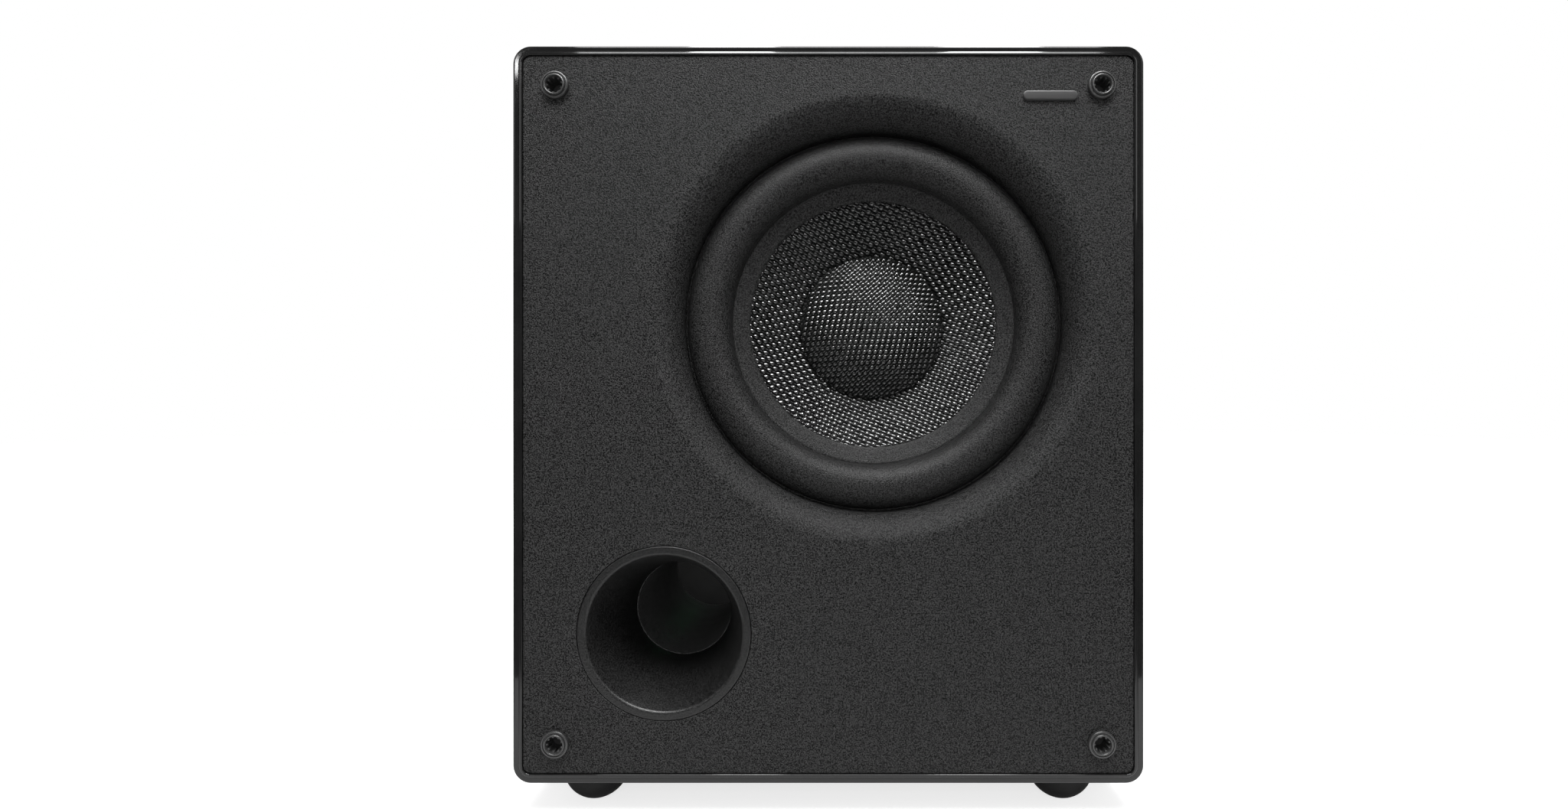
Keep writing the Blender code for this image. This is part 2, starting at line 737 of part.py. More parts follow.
def motor():
    """The magnet between its two steel parts, with the pole that reaches inside the coil."""
    top_plate = sleeve(0.0280, 0.062, TOP_PLATE_DEPTH, TOP_PLATE_DEPTH + TOP_PLATE_T)
    show(bored("top_plate", top_plate, DRIVER, LARGE), STEEL)
    near = TOP_PLATE_DEPTH + TOP_PLATE_T + GAP
    far = near + MAGNET_T
    show(bored("magnet", sleeve(0.034, MAGNET_R, near, far), DRIVER, LARGE), FERRITE)
    yoke_front = far + GAP
    yoke_back = yoke_front + YOKE_T
    pole_r = 0.0245
    profile = [
        (pole_r, TOP_PLATE_DEPTH),
        (pole_r, yoke_front),
        (0.060, yoke_front),
        (0.062, yoke_front + 0.003),
        (0.062, yoke_back),
        (0.010, yoke_back),
        (0.010, TOP_PLATE_DEPTH),
    ]
    show(bored("pole_yoke", profile, DRIVER, LARGE), STEEL)


def driver_wiring():
    """The terminal block on the basket, the two braided leads to the cone and the cable to the amplifier."""
    terminal_z = DRIVER_Z - 0.0885
    terminal = block("driver_terminal", (0.024, 0.012, 0.012), (DRIVER_X, 0.0755, terminal_z))
    show(bevel(terminal, 0.001), PLASTIC)
    for side, offset in (("left", -0.008), ("right", 0.008)):
        x = DRIVER_X + offset
        points = [
            (x, 0.0690, DRIVER_Z - 0.0900),
            (x, 0.0620, DRIVER_Z - 0.0960),
            (x, 0.0520, DRIVER_Z - 0.0900),
            (x, 0.0560, DRIVER_Z - 0.0720),
            (x, 0.0570, DRIVER_Z - 0.0580),
            (x, 0.0530, DRIVER_Z - 0.0480),
        ]
        show(wire(f"tinsel_lead_{side}", points, 0.0008, 3), COPPER)
    cable = [
        (DRIVER_X, 0.0823, terminal_z),
        (DRIVER_X, 0.0890, terminal_z),
        (DRIVER_X + 0.003, 0.0990, terminal_z - 0.006),
        (DRIVER_X + 0.024, 0.1180, DRIVER_Z - 0.128),
        (DRIVER_X + 0.072, 0.1450, DRIVER_Z - 0.178),
        (0.1220, 0.1850, 0.0980),
        (0.1560, 0.2240, 0.0760),
        (0.1640, 0.2700, 0.0700),
        (0.1640, 0.3200, 0.0740),
        (0.1500, 0.3560, 0.1000),
        (0.1120, 0.3720, 0.1500),
        (0.0840, 0.3680, 0.1860),
        (0.0800, 0.3760, 0.2060),
        (0.0800, 0.3900, 0.2080),
    ]
    show(wire("speaker_cable", cable, 0.0025, 2), PLASTIC)


def slider(name, x):
    """A slide switch's button, at the near end of its slot."""
    centre = (x - SLIDER_TRAVEL / 2, PLATE_DEPTH + 0.0002, CONTROL_Z)
    button = block(name, (0.0044, 0.0135, 0.0036), centre)
    show(bevel(button, 0.0004), PLASTIC)


def knob_set(name, x):
    """A knob pressed on the shaft of its potentiometer."""
    near = PLATE_BACK + 0.0013
    far = near + 0.0125
    bore_end = near + 0.009
    profile = [
        (0, bore_end),
        (SHAFT_R + GAP, bore_end),
        (SHAFT_R + GAP, near),
        (KNOB_R, near),
        (KNOB_R - 0.0006, far - 0.0012),
        (KNOB_R - 0.0018, far),
        (0, far),
    ]
    show(bored(f"{name}_knob", profile, (x, CONTROL_Z), MEDIUM, ring=False), PLASTIC)
    shaft = disc(SHAFT_R, CONTROL_DEPTHS[0] + 0.001, bore_end - GAP)
    show(bored(f"{name}_shaft", shaft, (x, CONTROL_Z), SMALL, ring=False), BRIGHT)
    outlines = [rectangle(0.017, 0.017), circle(SHAFT_R + GAP, SMALL)]
    show(plate(f"{name}_pot", outlines, CONTROL_DEPTHS, (x, CONTROL_Z)), BRIGHT)


def input_jacks():
    """Two phono sockets in one moulded block."""
    centre = (JACK_X, MIDDLE_Z - 0.047)
    body = show(plate("input_jacks", [rectangle(0.014, 0.036)], CONTROL_DEPTHS, centre), BRIGHT)
    end = PLATE_BACK + 0.0095
    barrels = pins("jack_barrels", JACK_SPOTS, JACK_R, (0.3960, end), SMALL)
    boolean(body, barrels, "UNION")
    boolean(body, pins("jack_holes", JACK_SPOTS, 0.0016, (PLATE_DEPTH, end + REACH), TINY))


def mains_inlet():
    """The three-pole inlet, whose cavity takes the plug of a mains lead."""
    centre = (INLET_X, MAINS_Z)
    body = plate("mains_inlet", [rectangle(0.0264, 0.0194)], (0.3840, PLATE_BACK + 0.001), centre)
    show(body, PLASTIC)
    flange = plate("inlet_flange", [rounded_rectangle(0.031, 0.024, 0.002)], BEZEL_DEPTHS, centre)
    boolean(body, as_cutter(flange), "UNION")
    depths = (0.3930, PLATE_BACK + 0.0132)
    cavity = plate("inlet_cavity", [rectangle(0.0236, 0.0166)], depths, centre)
    boolean(body, as_cutter(cavity))


def mains_switch():
    """The rocker, tilted to its off side, in its housing."""
    centre = (ROCKER_X, MAINS_Z)
    body = plate("switch_housing", [rectangle(0.0126, 0.0186)], (0.3900, PLATE_BACK + 0.001), centre)
    show(body, PLASTIC)
    outline = rounded_rectangle(0.0150, 0.0210, 0.001)
    flange = plate("housing_flange", [outline], BEZEL_DEPTHS, centre)
    boolean(body, as_cutter(flange), "UNION")
    depths = (0.3950, PLATE_BACK + 0.0132)
    cavity = plate("housing_cavity", [rectangle(0.0106, 0.0166)], depths, centre)
    boolean(body, as_cutter(cavity))
    face = [(0.0070, 0.0052), (0, 0.0036), (-0.0070, 0.0052), (-0.0070, 0.0)]
    face += [(-0.0025, -0.0060), (0.0025, -0.0060), (0.0070, 0.0)]
    place = (ROCKER_X, depth_y(ROCKER_DEPTH), MAINS_Z)
    upright = (0, math.radians(-90), 0)
    rocker = extruded("mains_rocker", [face], 0.0100, (0, 0, 0), upright)
    tilt = Matrix.Rotation(ROCKER_TILT, 4, "X")
    rocker.matrix_world = Matrix.Translation(place) @ tilt @ rocker.matrix_world
    show(rocker, PLASTIC)


def fuse_cap():
    """The screw cap of the mains fuse, with a slot across it."""
    far = PLATE_BACK + 0.0062
    near = 0.385
    profile = [
        (0, near),
        (0.0054, near),
        (0.0054, PLATE_BACK + GAP),
        (0.0070, PLATE_BACK + GAP),
        (0.0070, far - 0.0010),
        (0.0062, far),
        (0, far),
    ]
    cap = show(bored("fuse_cap", profile, (FUSE_X, MAINS_Z), SMALL, ring=False), PLASTIC)
    slot = block("fuse_slot", (0.0090, 0.0040, 0.0014), (FUSE_X, far + 0.0005, MAINS_Z))
    boolean(cap, as_cutter(slot))


def status_led():
    """The lamp that shows when the amplifier is on."""
    base = CONTROL_DEPTHS[0] + 0.003
    profile = [(0, base), (0.0024, base), (0.0024, PLATE_BACK + 0.0006)]
    profile += [(0.0014, PLATE_BACK + 0.0018), (0, PLATE_BACK + 0.0022)]
    show(bored("status_led", profile, (LED_X, CONTROL_Z), SMALL, ring=False), LENS)


def heatsink():
    """The finned plate on the back: a comb outline drawn out upwards."""
    fins = 13
    half = 0.096
    fin_t = 0.0024
    base_near = PLATE_BACK + GAP
    base_far = base_near + 0.003
    tip = CABINET_D + HEATSINK_PROUD
    pitch = (2 * half - fin_t) / (fins - 1)
    outline = [(half, base_near), (-half, base_near)]
    for k in range(fins):
        left = -half + k * pitch
        outline += [(left, tip), (left + fin_t, tip)]
        if k < fins - 1:
            outline += [(left + fin_t, base_far), (left + pitch, base_far)]
    place = (0, depth_y(0), MIDDLE_Z + 0.088)
    show(extruded("heatsink", [outline[::-1]], 0.076, place, (0, 0, 0)), ALUMINIUM)


def amplifier():
    """The plate that closes the back, what it carries outside, and its electronics inside."""
    near = CABINET_D + GAP
    outer = rounded_rectangle(PLATE_W - 0.004, PLATE_H - 0.004, 0.005)
    inner = rounded_rectangle(AMP_CUTOUT_W + 0.002, AMP_CUTOUT_H + 0.002, 0.005)
    show(plate("amp_gasket", [outer, inner], (near, near + GASKET_T), (0, MIDDLE_Z)), FOAM)
    holes = [
        circle(SHAFT_R + 0.0008, SMALL, (VOLUME_X, CONTROL_Z - MIDDLE_Z)),
        circle(SHAFT_R + 0.0008, SMALL, (CROSSOVER_X, CONTROL_Z - MIDDLE_Z)),
        rectangle(SLOT_W, SLOT_H, (PHASE_X, CONTROL_Z - MIDDLE_Z)),
        rectangle(SLOT_W, SLOT_H, (MODE_X, CONTROL_Z - MIDDLE_Z)),
        circle(0.0027, SMALL, (LED_X, CONTROL_Z - MIDDLE_Z)),
        rectangle(0.0270, 0.0200, (INLET_X, MAINS_Z - MIDDLE_Z)),
        rectangle(0.0132, 0.0192, (ROCKER_X, MAINS_Z - MIDDLE_Z)),
        circle(0.0057, SMALL, (FUSE_X, MAINS_Z - MIDDLE_Z)),
        *[circle(JACK_R + GAP, SMALL, (x, z - MIDDLE_Z)) for x, z in JACK_SPOTS],
    ]
    outline = rounded_rectangle(PLATE_W, PLATE_H, 0.006)
    show(
        plate("amp_plate", [outline, *holes], (PLATE_DEPTH, PLATE_BACK), (0, MIDDLE_Z)), ALUMINIUM
    )
    heatsink()
    knob_set("volume", VOLUME_X)
    knob_set("crossover", CROSSOVER_X)
    slider("phase_switch", PHASE_X)
    slider("power_mode_switch", MODE_X)
    pockets = [rectangle(SLOT_W, SLOT_H, (x, 0)) for x in (PHASE_X, MODE_X)]
    strip = [rectangle(0.050, 0.012), *pockets]
    show(plate("slide_switch_body", strip, CONTROL_DEPTHS, (0, CONTROL_Z)), BRIGHT)
    status_led()
    input_jacks()
    mains_inlet()
    mains_switch()
    fuse_cap()
    board = rectangle(0.190, 0.090)
    show(plate("circuit_board", [board], BOARD_DEPTHS, (0, MIDDLE_Z - 0.027)), CIRCUIT)
    back = PLATE_DEPTH - GAP
    core = [(0.038, 0.370), (0.042, 0.374), (0.042, 0.399), (0.038, back)]
    core += [(0.018, back), (0.014, 0.399), (0.014, 0.374), (0.018, 0.370)]
    show(bored("transformer", core, (0, MIDDLE_Z + 0.068), MEDIUM), COPPER)
    foot = BOARD_DEPTHS[0] - GAP
    top = foot - 0.038
    can = [(0, top), (0.013, top), (0.014, top + 0.001), (0.014, foot), (0, foot)]
    for side, x in (("left", -0.045), ("right", -0.010)):
        centre = (x, MIDDLE_Z - 0.030)
        show(bored(f"capacitor_{side}", can, centre, SMALL, ring=False), PLASTIC)


cabinet_shell()
front_panel()
front_baffle()
rear_panel()
window_brace()
feet()
grille_sockets()
badge()
port()
basket()
driver_fixings()
surround()
cone_and_cap()
spider()
motor()
driver_wiring()
amplifier()
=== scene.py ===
"""A powered subwoofer in a gloss cabinet, lit in a white studio. Metres, +Z up, the front faces -Y."""

import math

import bmesh
import bpy
import numpy as np
from mathutils import Matrix, Vector

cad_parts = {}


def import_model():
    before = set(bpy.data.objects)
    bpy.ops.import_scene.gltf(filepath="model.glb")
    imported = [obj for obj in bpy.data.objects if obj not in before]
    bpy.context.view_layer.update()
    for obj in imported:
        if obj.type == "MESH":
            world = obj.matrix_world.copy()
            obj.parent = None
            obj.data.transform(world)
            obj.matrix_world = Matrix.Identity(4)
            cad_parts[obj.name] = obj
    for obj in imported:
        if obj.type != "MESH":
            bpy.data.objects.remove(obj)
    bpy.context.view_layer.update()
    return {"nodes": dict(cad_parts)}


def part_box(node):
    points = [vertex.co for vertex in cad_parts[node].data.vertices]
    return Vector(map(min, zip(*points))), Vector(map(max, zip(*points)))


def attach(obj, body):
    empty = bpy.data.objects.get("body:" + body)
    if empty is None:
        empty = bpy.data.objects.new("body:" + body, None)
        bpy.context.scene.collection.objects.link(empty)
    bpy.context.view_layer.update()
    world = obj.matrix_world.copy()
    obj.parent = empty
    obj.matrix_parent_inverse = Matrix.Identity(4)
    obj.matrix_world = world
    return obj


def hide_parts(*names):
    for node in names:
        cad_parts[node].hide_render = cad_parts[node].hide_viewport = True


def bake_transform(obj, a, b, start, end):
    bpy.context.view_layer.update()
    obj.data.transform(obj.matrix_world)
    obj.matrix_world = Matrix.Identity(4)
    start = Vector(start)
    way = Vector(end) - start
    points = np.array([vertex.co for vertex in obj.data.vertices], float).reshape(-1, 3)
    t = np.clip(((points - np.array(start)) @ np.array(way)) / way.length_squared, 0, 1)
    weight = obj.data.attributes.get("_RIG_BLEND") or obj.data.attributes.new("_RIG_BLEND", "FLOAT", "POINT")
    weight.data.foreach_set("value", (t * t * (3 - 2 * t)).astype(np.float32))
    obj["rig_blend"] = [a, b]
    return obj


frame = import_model()

# The cabinet, whose front face is at depth 0
FRONT_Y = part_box("cabinet_shell")[0].y
CABINET_W, CABINET_H, CABINET_D = 0.390, 0.456, 0.402
MIDDLE_Z = 0.250
CORNER_R, EDGE_R, BORDER, WALL = 0.011, 0.0012, 0.006, 0.018
PANEL_T, PANEL_CORNER_R = 0.025, 0.0055
GAP = 0.0003

# The driver
DRIVER = (0.0292, 0.3093)
THROAT_R, FLARE_DEPTH = 0.1215, 0.024
LIP_R, ROLL_OUTER_R, ROLL_INNER_R, LANDING_R = 0.1255, 0.1205, 0.0918, 0.0804
ROLL_H, LANDING_DEPTH, FLANGE_DEPTH = 0.014, 0.0253, 0.0283
LANDING_SLOPE, RUBBER_SKIN = 0.40, 0.0007
CONE_R, CONE_BEND_R, NECK_R, NECK_DEPTH, CONE_T = 0.091, 0.080, 0.0261, 0.0605, 0.0012
CAP_R, CAP_DEPTH, CAP_APEX = 0.048, 0.0478, 0.030
COIL_R, LEDGE_DEPTH = 0.0258, 0.067

# The port
PORT = (-0.1017, 0.1147)
PORT_R, PORT_MOUTH_R, PORT_HORN_R, PORT_FLANGE_R = 0.033, 0.0503, 0.0485, 0.0539
PORT_HORN_POWER, PORT_FLARE_DEPTH, PORT_SOFT = 1.6, 0.070, 0.0023

SOCKETS = {
    "upper_left": (-0.1685, 0.453),
    "upper_right": (0.1685, 0.453),
    "lower_left": (-0.1685, 0.047),
    "lower_right": (0.1685, 0.047),
}

# The amplifier on the back
PLATE_W, PLATE_H, PLATE_DEPTH, PLATE_BACK = 0.230, 0.272, 0.4038, 0.4068
CONTROL_Z, MAINS_Z = MIDDLE_Z - 0.004, MIDDLE_Z - 0.100
KNOBS = {"volume": -0.062, "crossover": 0.062}
SLIDERS = {"phase": -0.016, "power_mode": 0.016}
LED_X, INLET_X, ROCKER_X, FUSE_X = 0.040, -0.062, -0.014, 0.030
JACKS = {"upper": MIDDLE_Z - 0.038, "lower": MIDDLE_Z - 0.056}

TAU = 2 * math.pi


# ---------------------------------------------------------------- materials


def link(tree, source, target):
    tree.links.new(source, target)


def node(tree, kind, inputs=(), **settings):
    made = tree.nodes.new(kind)
    for key, value in settings.items():
        setattr(made, key, value)
    for key, value in dict(inputs).items():
        if isinstance(value, bpy.types.NodeSocket):
            link(tree, value, made.inputs[key])
        else:
            made.inputs[key].default_value = value
    return made


def noise(tree, place, scale, detail=3.0, rough=0.55):
    inputs = {"Vector": place, "Scale": scale, "Detail": detail, "Roughness": rough}
    return node(tree, "ShaderNodeTexNoise", inputs).outputs["Fac"]


def between(tree, value, low, high, start=0.3, end=0.7):
    """value from start to end, carried to low to high."""
    inputs = {"Value": value, "From Min": start, "From Max": end, "To Min": low, "To Max": high}
    return node(tree, "ShaderNodeMapRange", inputs).outputs["Result"]


def mixed(tree, factor, first, second):
    """A colour from first to second, by factor."""
    made = node(tree, "ShaderNodeMix", data_type="RGBA")
    link(tree, factor, made.inputs["Factor"])
    for socket, colour in zip([s for s in made.inputs if s.type == "RGBA"], (first, second)):
        socket.default_value = (*colour, 1)
    return next(s for s in made.outputs if s.type == "RGBA")


def finish(
    name, dark, light, rough, metal=0.0, patch=60, grain=1500, bump=0.0, depth=0.0001,
    stretch=(1, 1, 1), specular=0.5, coat=0.0, speckle=0.0,
):
    """A finish whose colour drifts between two tones in patches, and whose grain roughens it and lifts it.

    patch and grain are in repeats to the metre, depth is the grain's height, and speckle is how far the
    grain, rather than the patches, sets the colour.
    """
    made = bpy.data.materials.new(name)
    made.use_nodes = True
    tree = made.node_tree
    shader = tree.nodes["Principled BSDF"].inputs
    place = node(tree, "ShaderNodeTexCoord").outputs["Object"]
    place = node(tree, "ShaderNodeMapping", {"Vector": place, "Scale": stretch}).outputs[0]
    patches = noise(tree, place, patch, 4)
    grains = noise(tree, place, grain, 1, 0.6)
    tone = between(tree, patches, 0, 1)
    if speckle:
        inputs = {"Factor": speckle, "A": tone, "B": between(tree, grains, 0, 1, 0.35, 0.65)}
        tone = node(tree, "ShaderNodeMix", inputs).outputs["Result"]
    link(tree, mixed(tree, tone, dark, light), shader["Base Color"])
    both = node(tree, "ShaderNodeMath", {0: patches, 1: grains}, operation="ADD").outputs[0]
    link(tree, between(tree, both, *rough, 0.7, 1.3), shader["Roughness"])
    fixed = {"Metallic": metal, "Specular IOR Level": specular, "Coat Weight": coat, "Coat Roughness": 0.05}
    for socket, value in fixed.items():
        shader[socket].default_value = value
    if bump:
        inputs = {"Height": grains, "Strength": bump, "Distance": depth}
        link(tree, node(tree, "ShaderNodeBump", inputs).outputs[0], shader["Normal"])
    return made


def grey(value, warm=0.0):
    """A grey, or with warm one that leans to red, or to blue below 0."""
    return (value * (1 + warm), value, value * (1 - warm))


def woven_finish():
    """Resin-soaked yarn. Its gaps get painted shade, keyed to the crown height: a darker colour and a weaker
    shine than on the raised crowns, where the yarns would shade each other.
    """
    made = finish("fibre", grey(0.004), grey(0.012), (0.16, 0.23), patch=700, grain=5200, bump=0.10)
    tree = made.node_tree
    shader = tree.nodes["Principled BSDF"].inputs
    crown = node(tree, "ShaderNodeAttribute", attribute_name="crown").outputs["Fac"]
    # Painted shade: by the crown height, the shine fades and the base colour darkens in the gaps between the
    # yarns.
    link(tree, between(tree, crown, 0.04, 1.4, 0.50, 0.82), shader["Specular IOR Level"])
    clear_of_gap_shade = between(tree, crown, 0, 1, 0.46, 0.82)
    link(tree, mixed(tree, clear_of_gap_shade, grey(0.0008), grey(0.011)), shader["Base Color"])
    return made


FINISHES = {
    "gloss_lacquer": finish(
        "lacquer", grey(0.0045), grey(0.0065), (0.045, 0.075), grain=90, bump=0.02, depth=0.0004
    ),
    "satin_panel": finish(
        "satin_paint", grey(0.0005), grey(0.0245), (0.46, 0.62),
        grain=1200, bump=1.0, depth=0.0004, specular=0.11, speckle=1.0,
    ),
    "fibreboard": finish(
        "fibreboard", (0.30, 0.20, 0.12), (0.42, 0.30, 0.19), (0.8, 0.95), grain=700, bump=0.3
    ),
    "rear_board": finish("rear_paint", grey(0.016), grey(0.022), (0.5, 0.62), grain=1500, bump=0.35),
    "black_rubber": finish(
        "rubber", grey(0.001), grey(0.020), (0.46, 0.54),
        patch=40, grain=1200, bump=1.0, depth=0.0003, specular=0.16, speckle=1.0,
    ),
    "gasket_foam": finish("foam", grey(0.02), grey(0.04), (0.85, 0.98), grain=1400, bump=0.8),
    "woven_fibre": woven_finish(),
    "port_plastic": finish(
        "port_plastic", grey(0.001), grey(0.011), (0.38, 0.48),
        grain=1000, bump=0.3, depth=0.0002, specular=0.42, speckle=0.95,
    ),
    "black_plastic": finish("moulded_plastic", grey(0.014), grey(0.020), (0.34, 0.46), grain=1800, bump=0.25),
    "badge_metal": finish(
        "brushed_metal", grey(0.022), grey(0.030), (0.36, 0.46), 0.3,
        patch=300, grain=2500, bump=0.15, stretch=(0.05, 1, 1),
    ),
    "coated_casting": finish(
        "coated_casting", grey(0.025), grey(0.035), (0.5, 0.65), 0.3, grain=900, bump=0.5
    ),
    "former_foil": finish(
        "former_foil", grey(0.55), grey(0.68), (0.3, 0.42), 1, grain=1500, bump=0.1, stretch=(1, 0.1, 1)
    ),
    "zinc_steel": finish(
        "zinc_steel", grey(0.48, 0.03), grey(0.62, -0.02), (0.26, 0.42), 1, patch=120, grain=1600, bump=0.1
    ),
    "ferrite": finish("ferrite", grey(0.04), grey(0.07), (0.6, 0.8), grain=1300, bump=0.5),
    "copper": finish(
        "enamelled_copper", (0.50, 0.21, 0.09), (0.66, 0.31, 0.15), (0.24, 0.36), 1, grain=900, bump=0.1
    ),
    "treated_cloth": finish(
        "treated_cloth", (0.34, 0.20, 0.07), (0.50, 0.33, 0.14), (0.7, 0.9), grain=1500, bump=0.6
    ),
    "black_aluminium": finish("anodised", grey(0.020), grey(0.030), (0.34, 0.46), 0.4, grain=2600, bump=0.2),
    "circuit_laminate": finish(
        "laminate", (0.01, 0.10, 0.035), (0.02, 0.16, 0.06), (0.35, 0.5), grain=800, bump=0.1
    ),
    "bright_metal": finish(
        "nickel", grey(0.60, 0.02), grey(0.72, 0.02), (0.16, 0.28), 1, grain=1400, bump=0.05
    ),
    "indicator_lens": finish(
        "lens", (0.02, 0.22, 0.05), (0.04, 0.34, 0.08), (0.08, 0.14), coat=0.5, patch=300
    ),
}


# ------------------------------------------------------------------- shapes


def circle(radius, sides, centre=(0, 0)):
    angles = [TAU * k / sides for k in range(sides)]
    return [(centre[0] + radius * math.cos(a), centre[1] + radius * math.sin(a)) for a in angles]


def rounded(width, height, radius, centre=(0, 0), steps=10):
    """A rectangle with rounded corners."""
    radius = max(radius, 0.0003)
    points = []
    for quarter, (sx, sz) in enumerate(((1, 1), (-1, 1), (-1, -1), (1, -1))):
        mx = centre[0] + sx * (width / 2 - radius)
        mz = centre[1] + sz * (height / 2 - radius)
        for step in range(steps + 1):
            a = math.radians(90) * (quarter + step / steps)
            points.append((mx + radius * math.cos(a), mz + radius * math.sin(a)))
    return points


def at(points, depth):
    """A flat ring of (x, z) points at a depth behind the front face."""
    return [(x, FRONT_Y + depth, z) for x, z in points]


def turned_rings(profile, centre, sides):
    """Rings about the front-to-back axis from (radius, depth) points."""
    return [at(circle(max(radius, 1e-7), sides, centre), depth) for radius, depth in profile]


def frame_rings(profile, width, height, radius, centre, steps=10):
    """Rounded rectangles from (inset, depth) points, one round the other."""
    return [
        at(rounded(width - 2 * i, height - 2 * i, radius - i, centre, steps), d) for i, d in profile
    ]


def stepped_rings(profile, width, height, radius, centre, steps):
    """Rounded rectangles from (inset, depth) points, with the same corners on each."""
    return [at(rounded(width - 2 * i, height - 2 * i, radius, centre, steps), d) for i, d in profile]


def arc(centre, radius, start, end, steps):
    """(across, depth) points on an arc, angles in degrees from the across axis."""
    points = []
    for k in range(steps + 1):
        a = math.radians(start + (end - start) * k / steps)
        points.append((centre[0] + radius * math.cos(a), centre[1] + radius * math.sin(a)))
    return points


def around(items):
    """Each item with the next one, and the last with the first."""
    return list(zip(items, items[1:] + items[:1]))


class Shape:
    """A mesh under construction, which may start with a loft."""

    def __init__(self, rings=(), closed=False):
        self.bm = bmesh.new()
        if rings:
            self.loft(rings, closed)

    def ring(self, points):
        return [self.bm.verts.new(p) for p in points]

    def loft(self, rings, closed=False):
        """Faces between each ring and the next, and with closed between the last and the first."""
        made = [self.ring(r) for r in rings]
        for first, second in around(made) if closed else zip(made, made[1:]):
            for (a, b), (c, d) in zip(around(first), around(second)):
                self.bm.faces.new((a, b, d, c))
        return made

    def fill(self, *rings):
        """One flat face set inside the first ring and outside the others."""
        edges = []
        for points in rings:
            edges += [self.bm.edges.new(pair) for pair in around(self.ring(points))]
        bmesh.ops.triangle_fill(self.bm, edges=edges, use_beauty=True)

    def capped(self, rings):
        """A loft with a flat face at each end."""
        made = self.loft(rings)
        self.bm.faces.new(made[0][::-1])
        self.bm.faces.new(made[-1])

    def pierced(self, rims):
        """A plate from the rings round its edge and those that line each opening, flat before and behind."""
        self.fill(*[rim[0] for rim in rims])
        for rim in rims:
            self.loft(rim)
        self.fill(*[rim[-1] for rim in rims])

    def sunk(self, outside, well):
        """A loft closed by a flat face at one end, and at the other by one with a well in it."""
        self.loft(outside)
        self.fill(outside[0])
        self.fill(outside[-1], well[0])
        self.loft(well)
        self.fill(well[-1])

    def block(self, size, centre, turn=None, bevel=0.0):
        place = Matrix.Translation((centre[0], FRONT_Y + centre[1], centre[2]))
        if turn:
            place @= turn
        made = bmesh.ops.create_cube(self.bm, size=1, matrix=place @ Matrix.Diagonal((*size, 1)))
        if bevel:
            edges = list({e for v in made["verts"] for e in v.link_edges})
            bmesh.ops.bevel(self.bm, geom=edges, offset=bevel, segments=2, affect="EDGES", profile=0.5)

    def tube(self, points, radius, sides):
        """A round wire along points, closed at its ends."""
        path = [Vector((x, FRONT_Y + d, z)) for x, d, z in points]
        rings = []
        side = Vector((1, 0, 0))
        for k, p in enumerate(path):
            ahead = (path[min(k + 1, len(path) - 1)] - path[max(k - 1, 0)]).normalized()
            side = (side - ahead * side.dot(ahead)).normalized()
            other = ahead.cross(side)
            rings.append([p + radius * (side * c + other * s) for c, s in circle(1, sides)])
        self.capped(rings)

    def piece(self, name, slot, body="root", replaces=(), sharp=32, material=None):
        """Ends the shape as an object, whose edges over sharp degrees stay crisp."""
        bm = self.bm
        bmesh.ops.remove_doubles(bm, verts=bm.verts, dist=2e-6)
        bmesh.ops.dissolve_degenerate(bm, edges=bm.edges, dist=1e-7)
        bmesh.ops.recalc_face_normals(bm, faces=bm.faces)
        limit = math.radians(sharp)
        for edge in bm.edges:
            edge.smooth = len(edge.link_faces) == 2 and edge.calc_face_angle(0) < limit
        for face in bm.faces:
            face.smooth = True
        mesh = bpy.data.meshes.new(name)
        bm.to_mesh(mesh)
        bm.free()
        return place(mesh, name, slot, body, replaces, material)


def add(name, data):
    """An object of the data, in the scene."""
    obj = bpy.data.objects.new(name, data)
    bpy.context.scene.collection.objects.link(obj)
    return obj


def place(mesh, name, slot, body="root", replaces=(), material=None):
    """An object of the mesh, on its body unless that is None, in place of the CAD nodes it replaces."""
    obj = add(name, mesh)
    mesh.materials.append(material or FINISHES[slot])
    if body:
        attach(obj, body)
    if replaces:
        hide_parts(*replaces)
    return obj


def turned(name, profile, centre, slot, sides, replaces=(), closed=True, **more):
    shape = Shape(turned_rings(profile, centre, sides), closed)
    return shape.piece(name, slot, replaces=replaces, **more)


# ------------------------------------------------------------ camera, stage


def camera():
    data = bpy.data.cameras.new("camera")
    data.lens = 18.58
    data.sensor_width = 36
    data.shift_x = -0.0293
    data.shift_y = 0.0090
    obj = add("camera", data)
    obj.location = (0.001, -0.709, 0.2476)
    obj.rotation_euler = (math.radians(90), 0, 0)
    bpy.context.scene.camera = obj


def floor_piece(name, half_width, y0, y1):
    mesh = bpy.data.meshes.new(name)
    corners = [(-half_width, y0, 0), (half_width, y0, 0), (half_width, y1, 0), (-half_width, y1, 0)]
    mesh.from_pydata(corners, [], [(0, 1, 2, 3)])
    obj = add(name, mesh)
    mesh.materials.append(FLOOR)
    return obj


def area_light(name, location, size, power, aim=None):
    """A rectangle of light that faces down, or towards aim."""
    data = bpy.data.lights.new(name, "AREA")
    data.shape = "RECTANGLE"
    data.size, data.size_y = size
    data.energy = power
    obj = add(name, data)
    obj.location = location
    if aim:
        obj.rotation_euler = (Vector(aim) - Vector(location)).to_track_quat("-Z", "Y").to_euler()
    return obj


def world():
    """White to the camera, and dim to the object."""
    made = bpy.data.worlds.new("studio")
    bpy.context.scene.world = made
    made.use_nodes = True
    tree = made.node_tree
    tree.nodes.clear()
    path = node(tree, "ShaderNodeLightPath").outputs
    soft = between(tree, path["Is Diffuse Ray"], 0.05, 0.40, 0, 1)
    level = node(tree, "ShaderNodeMath", {0: soft, 1: path["Is Camera Ray"]}, operation="MAXIMUM").outputs[0]
    light = node(tree, "ShaderNodeBackground", {"Color": (1, 1, 1, 1), "Strength": level})
    out = node(tree, "ShaderNodeOutputWorld")
    link(tree, light.outputs[0], out.inputs["Surface"])


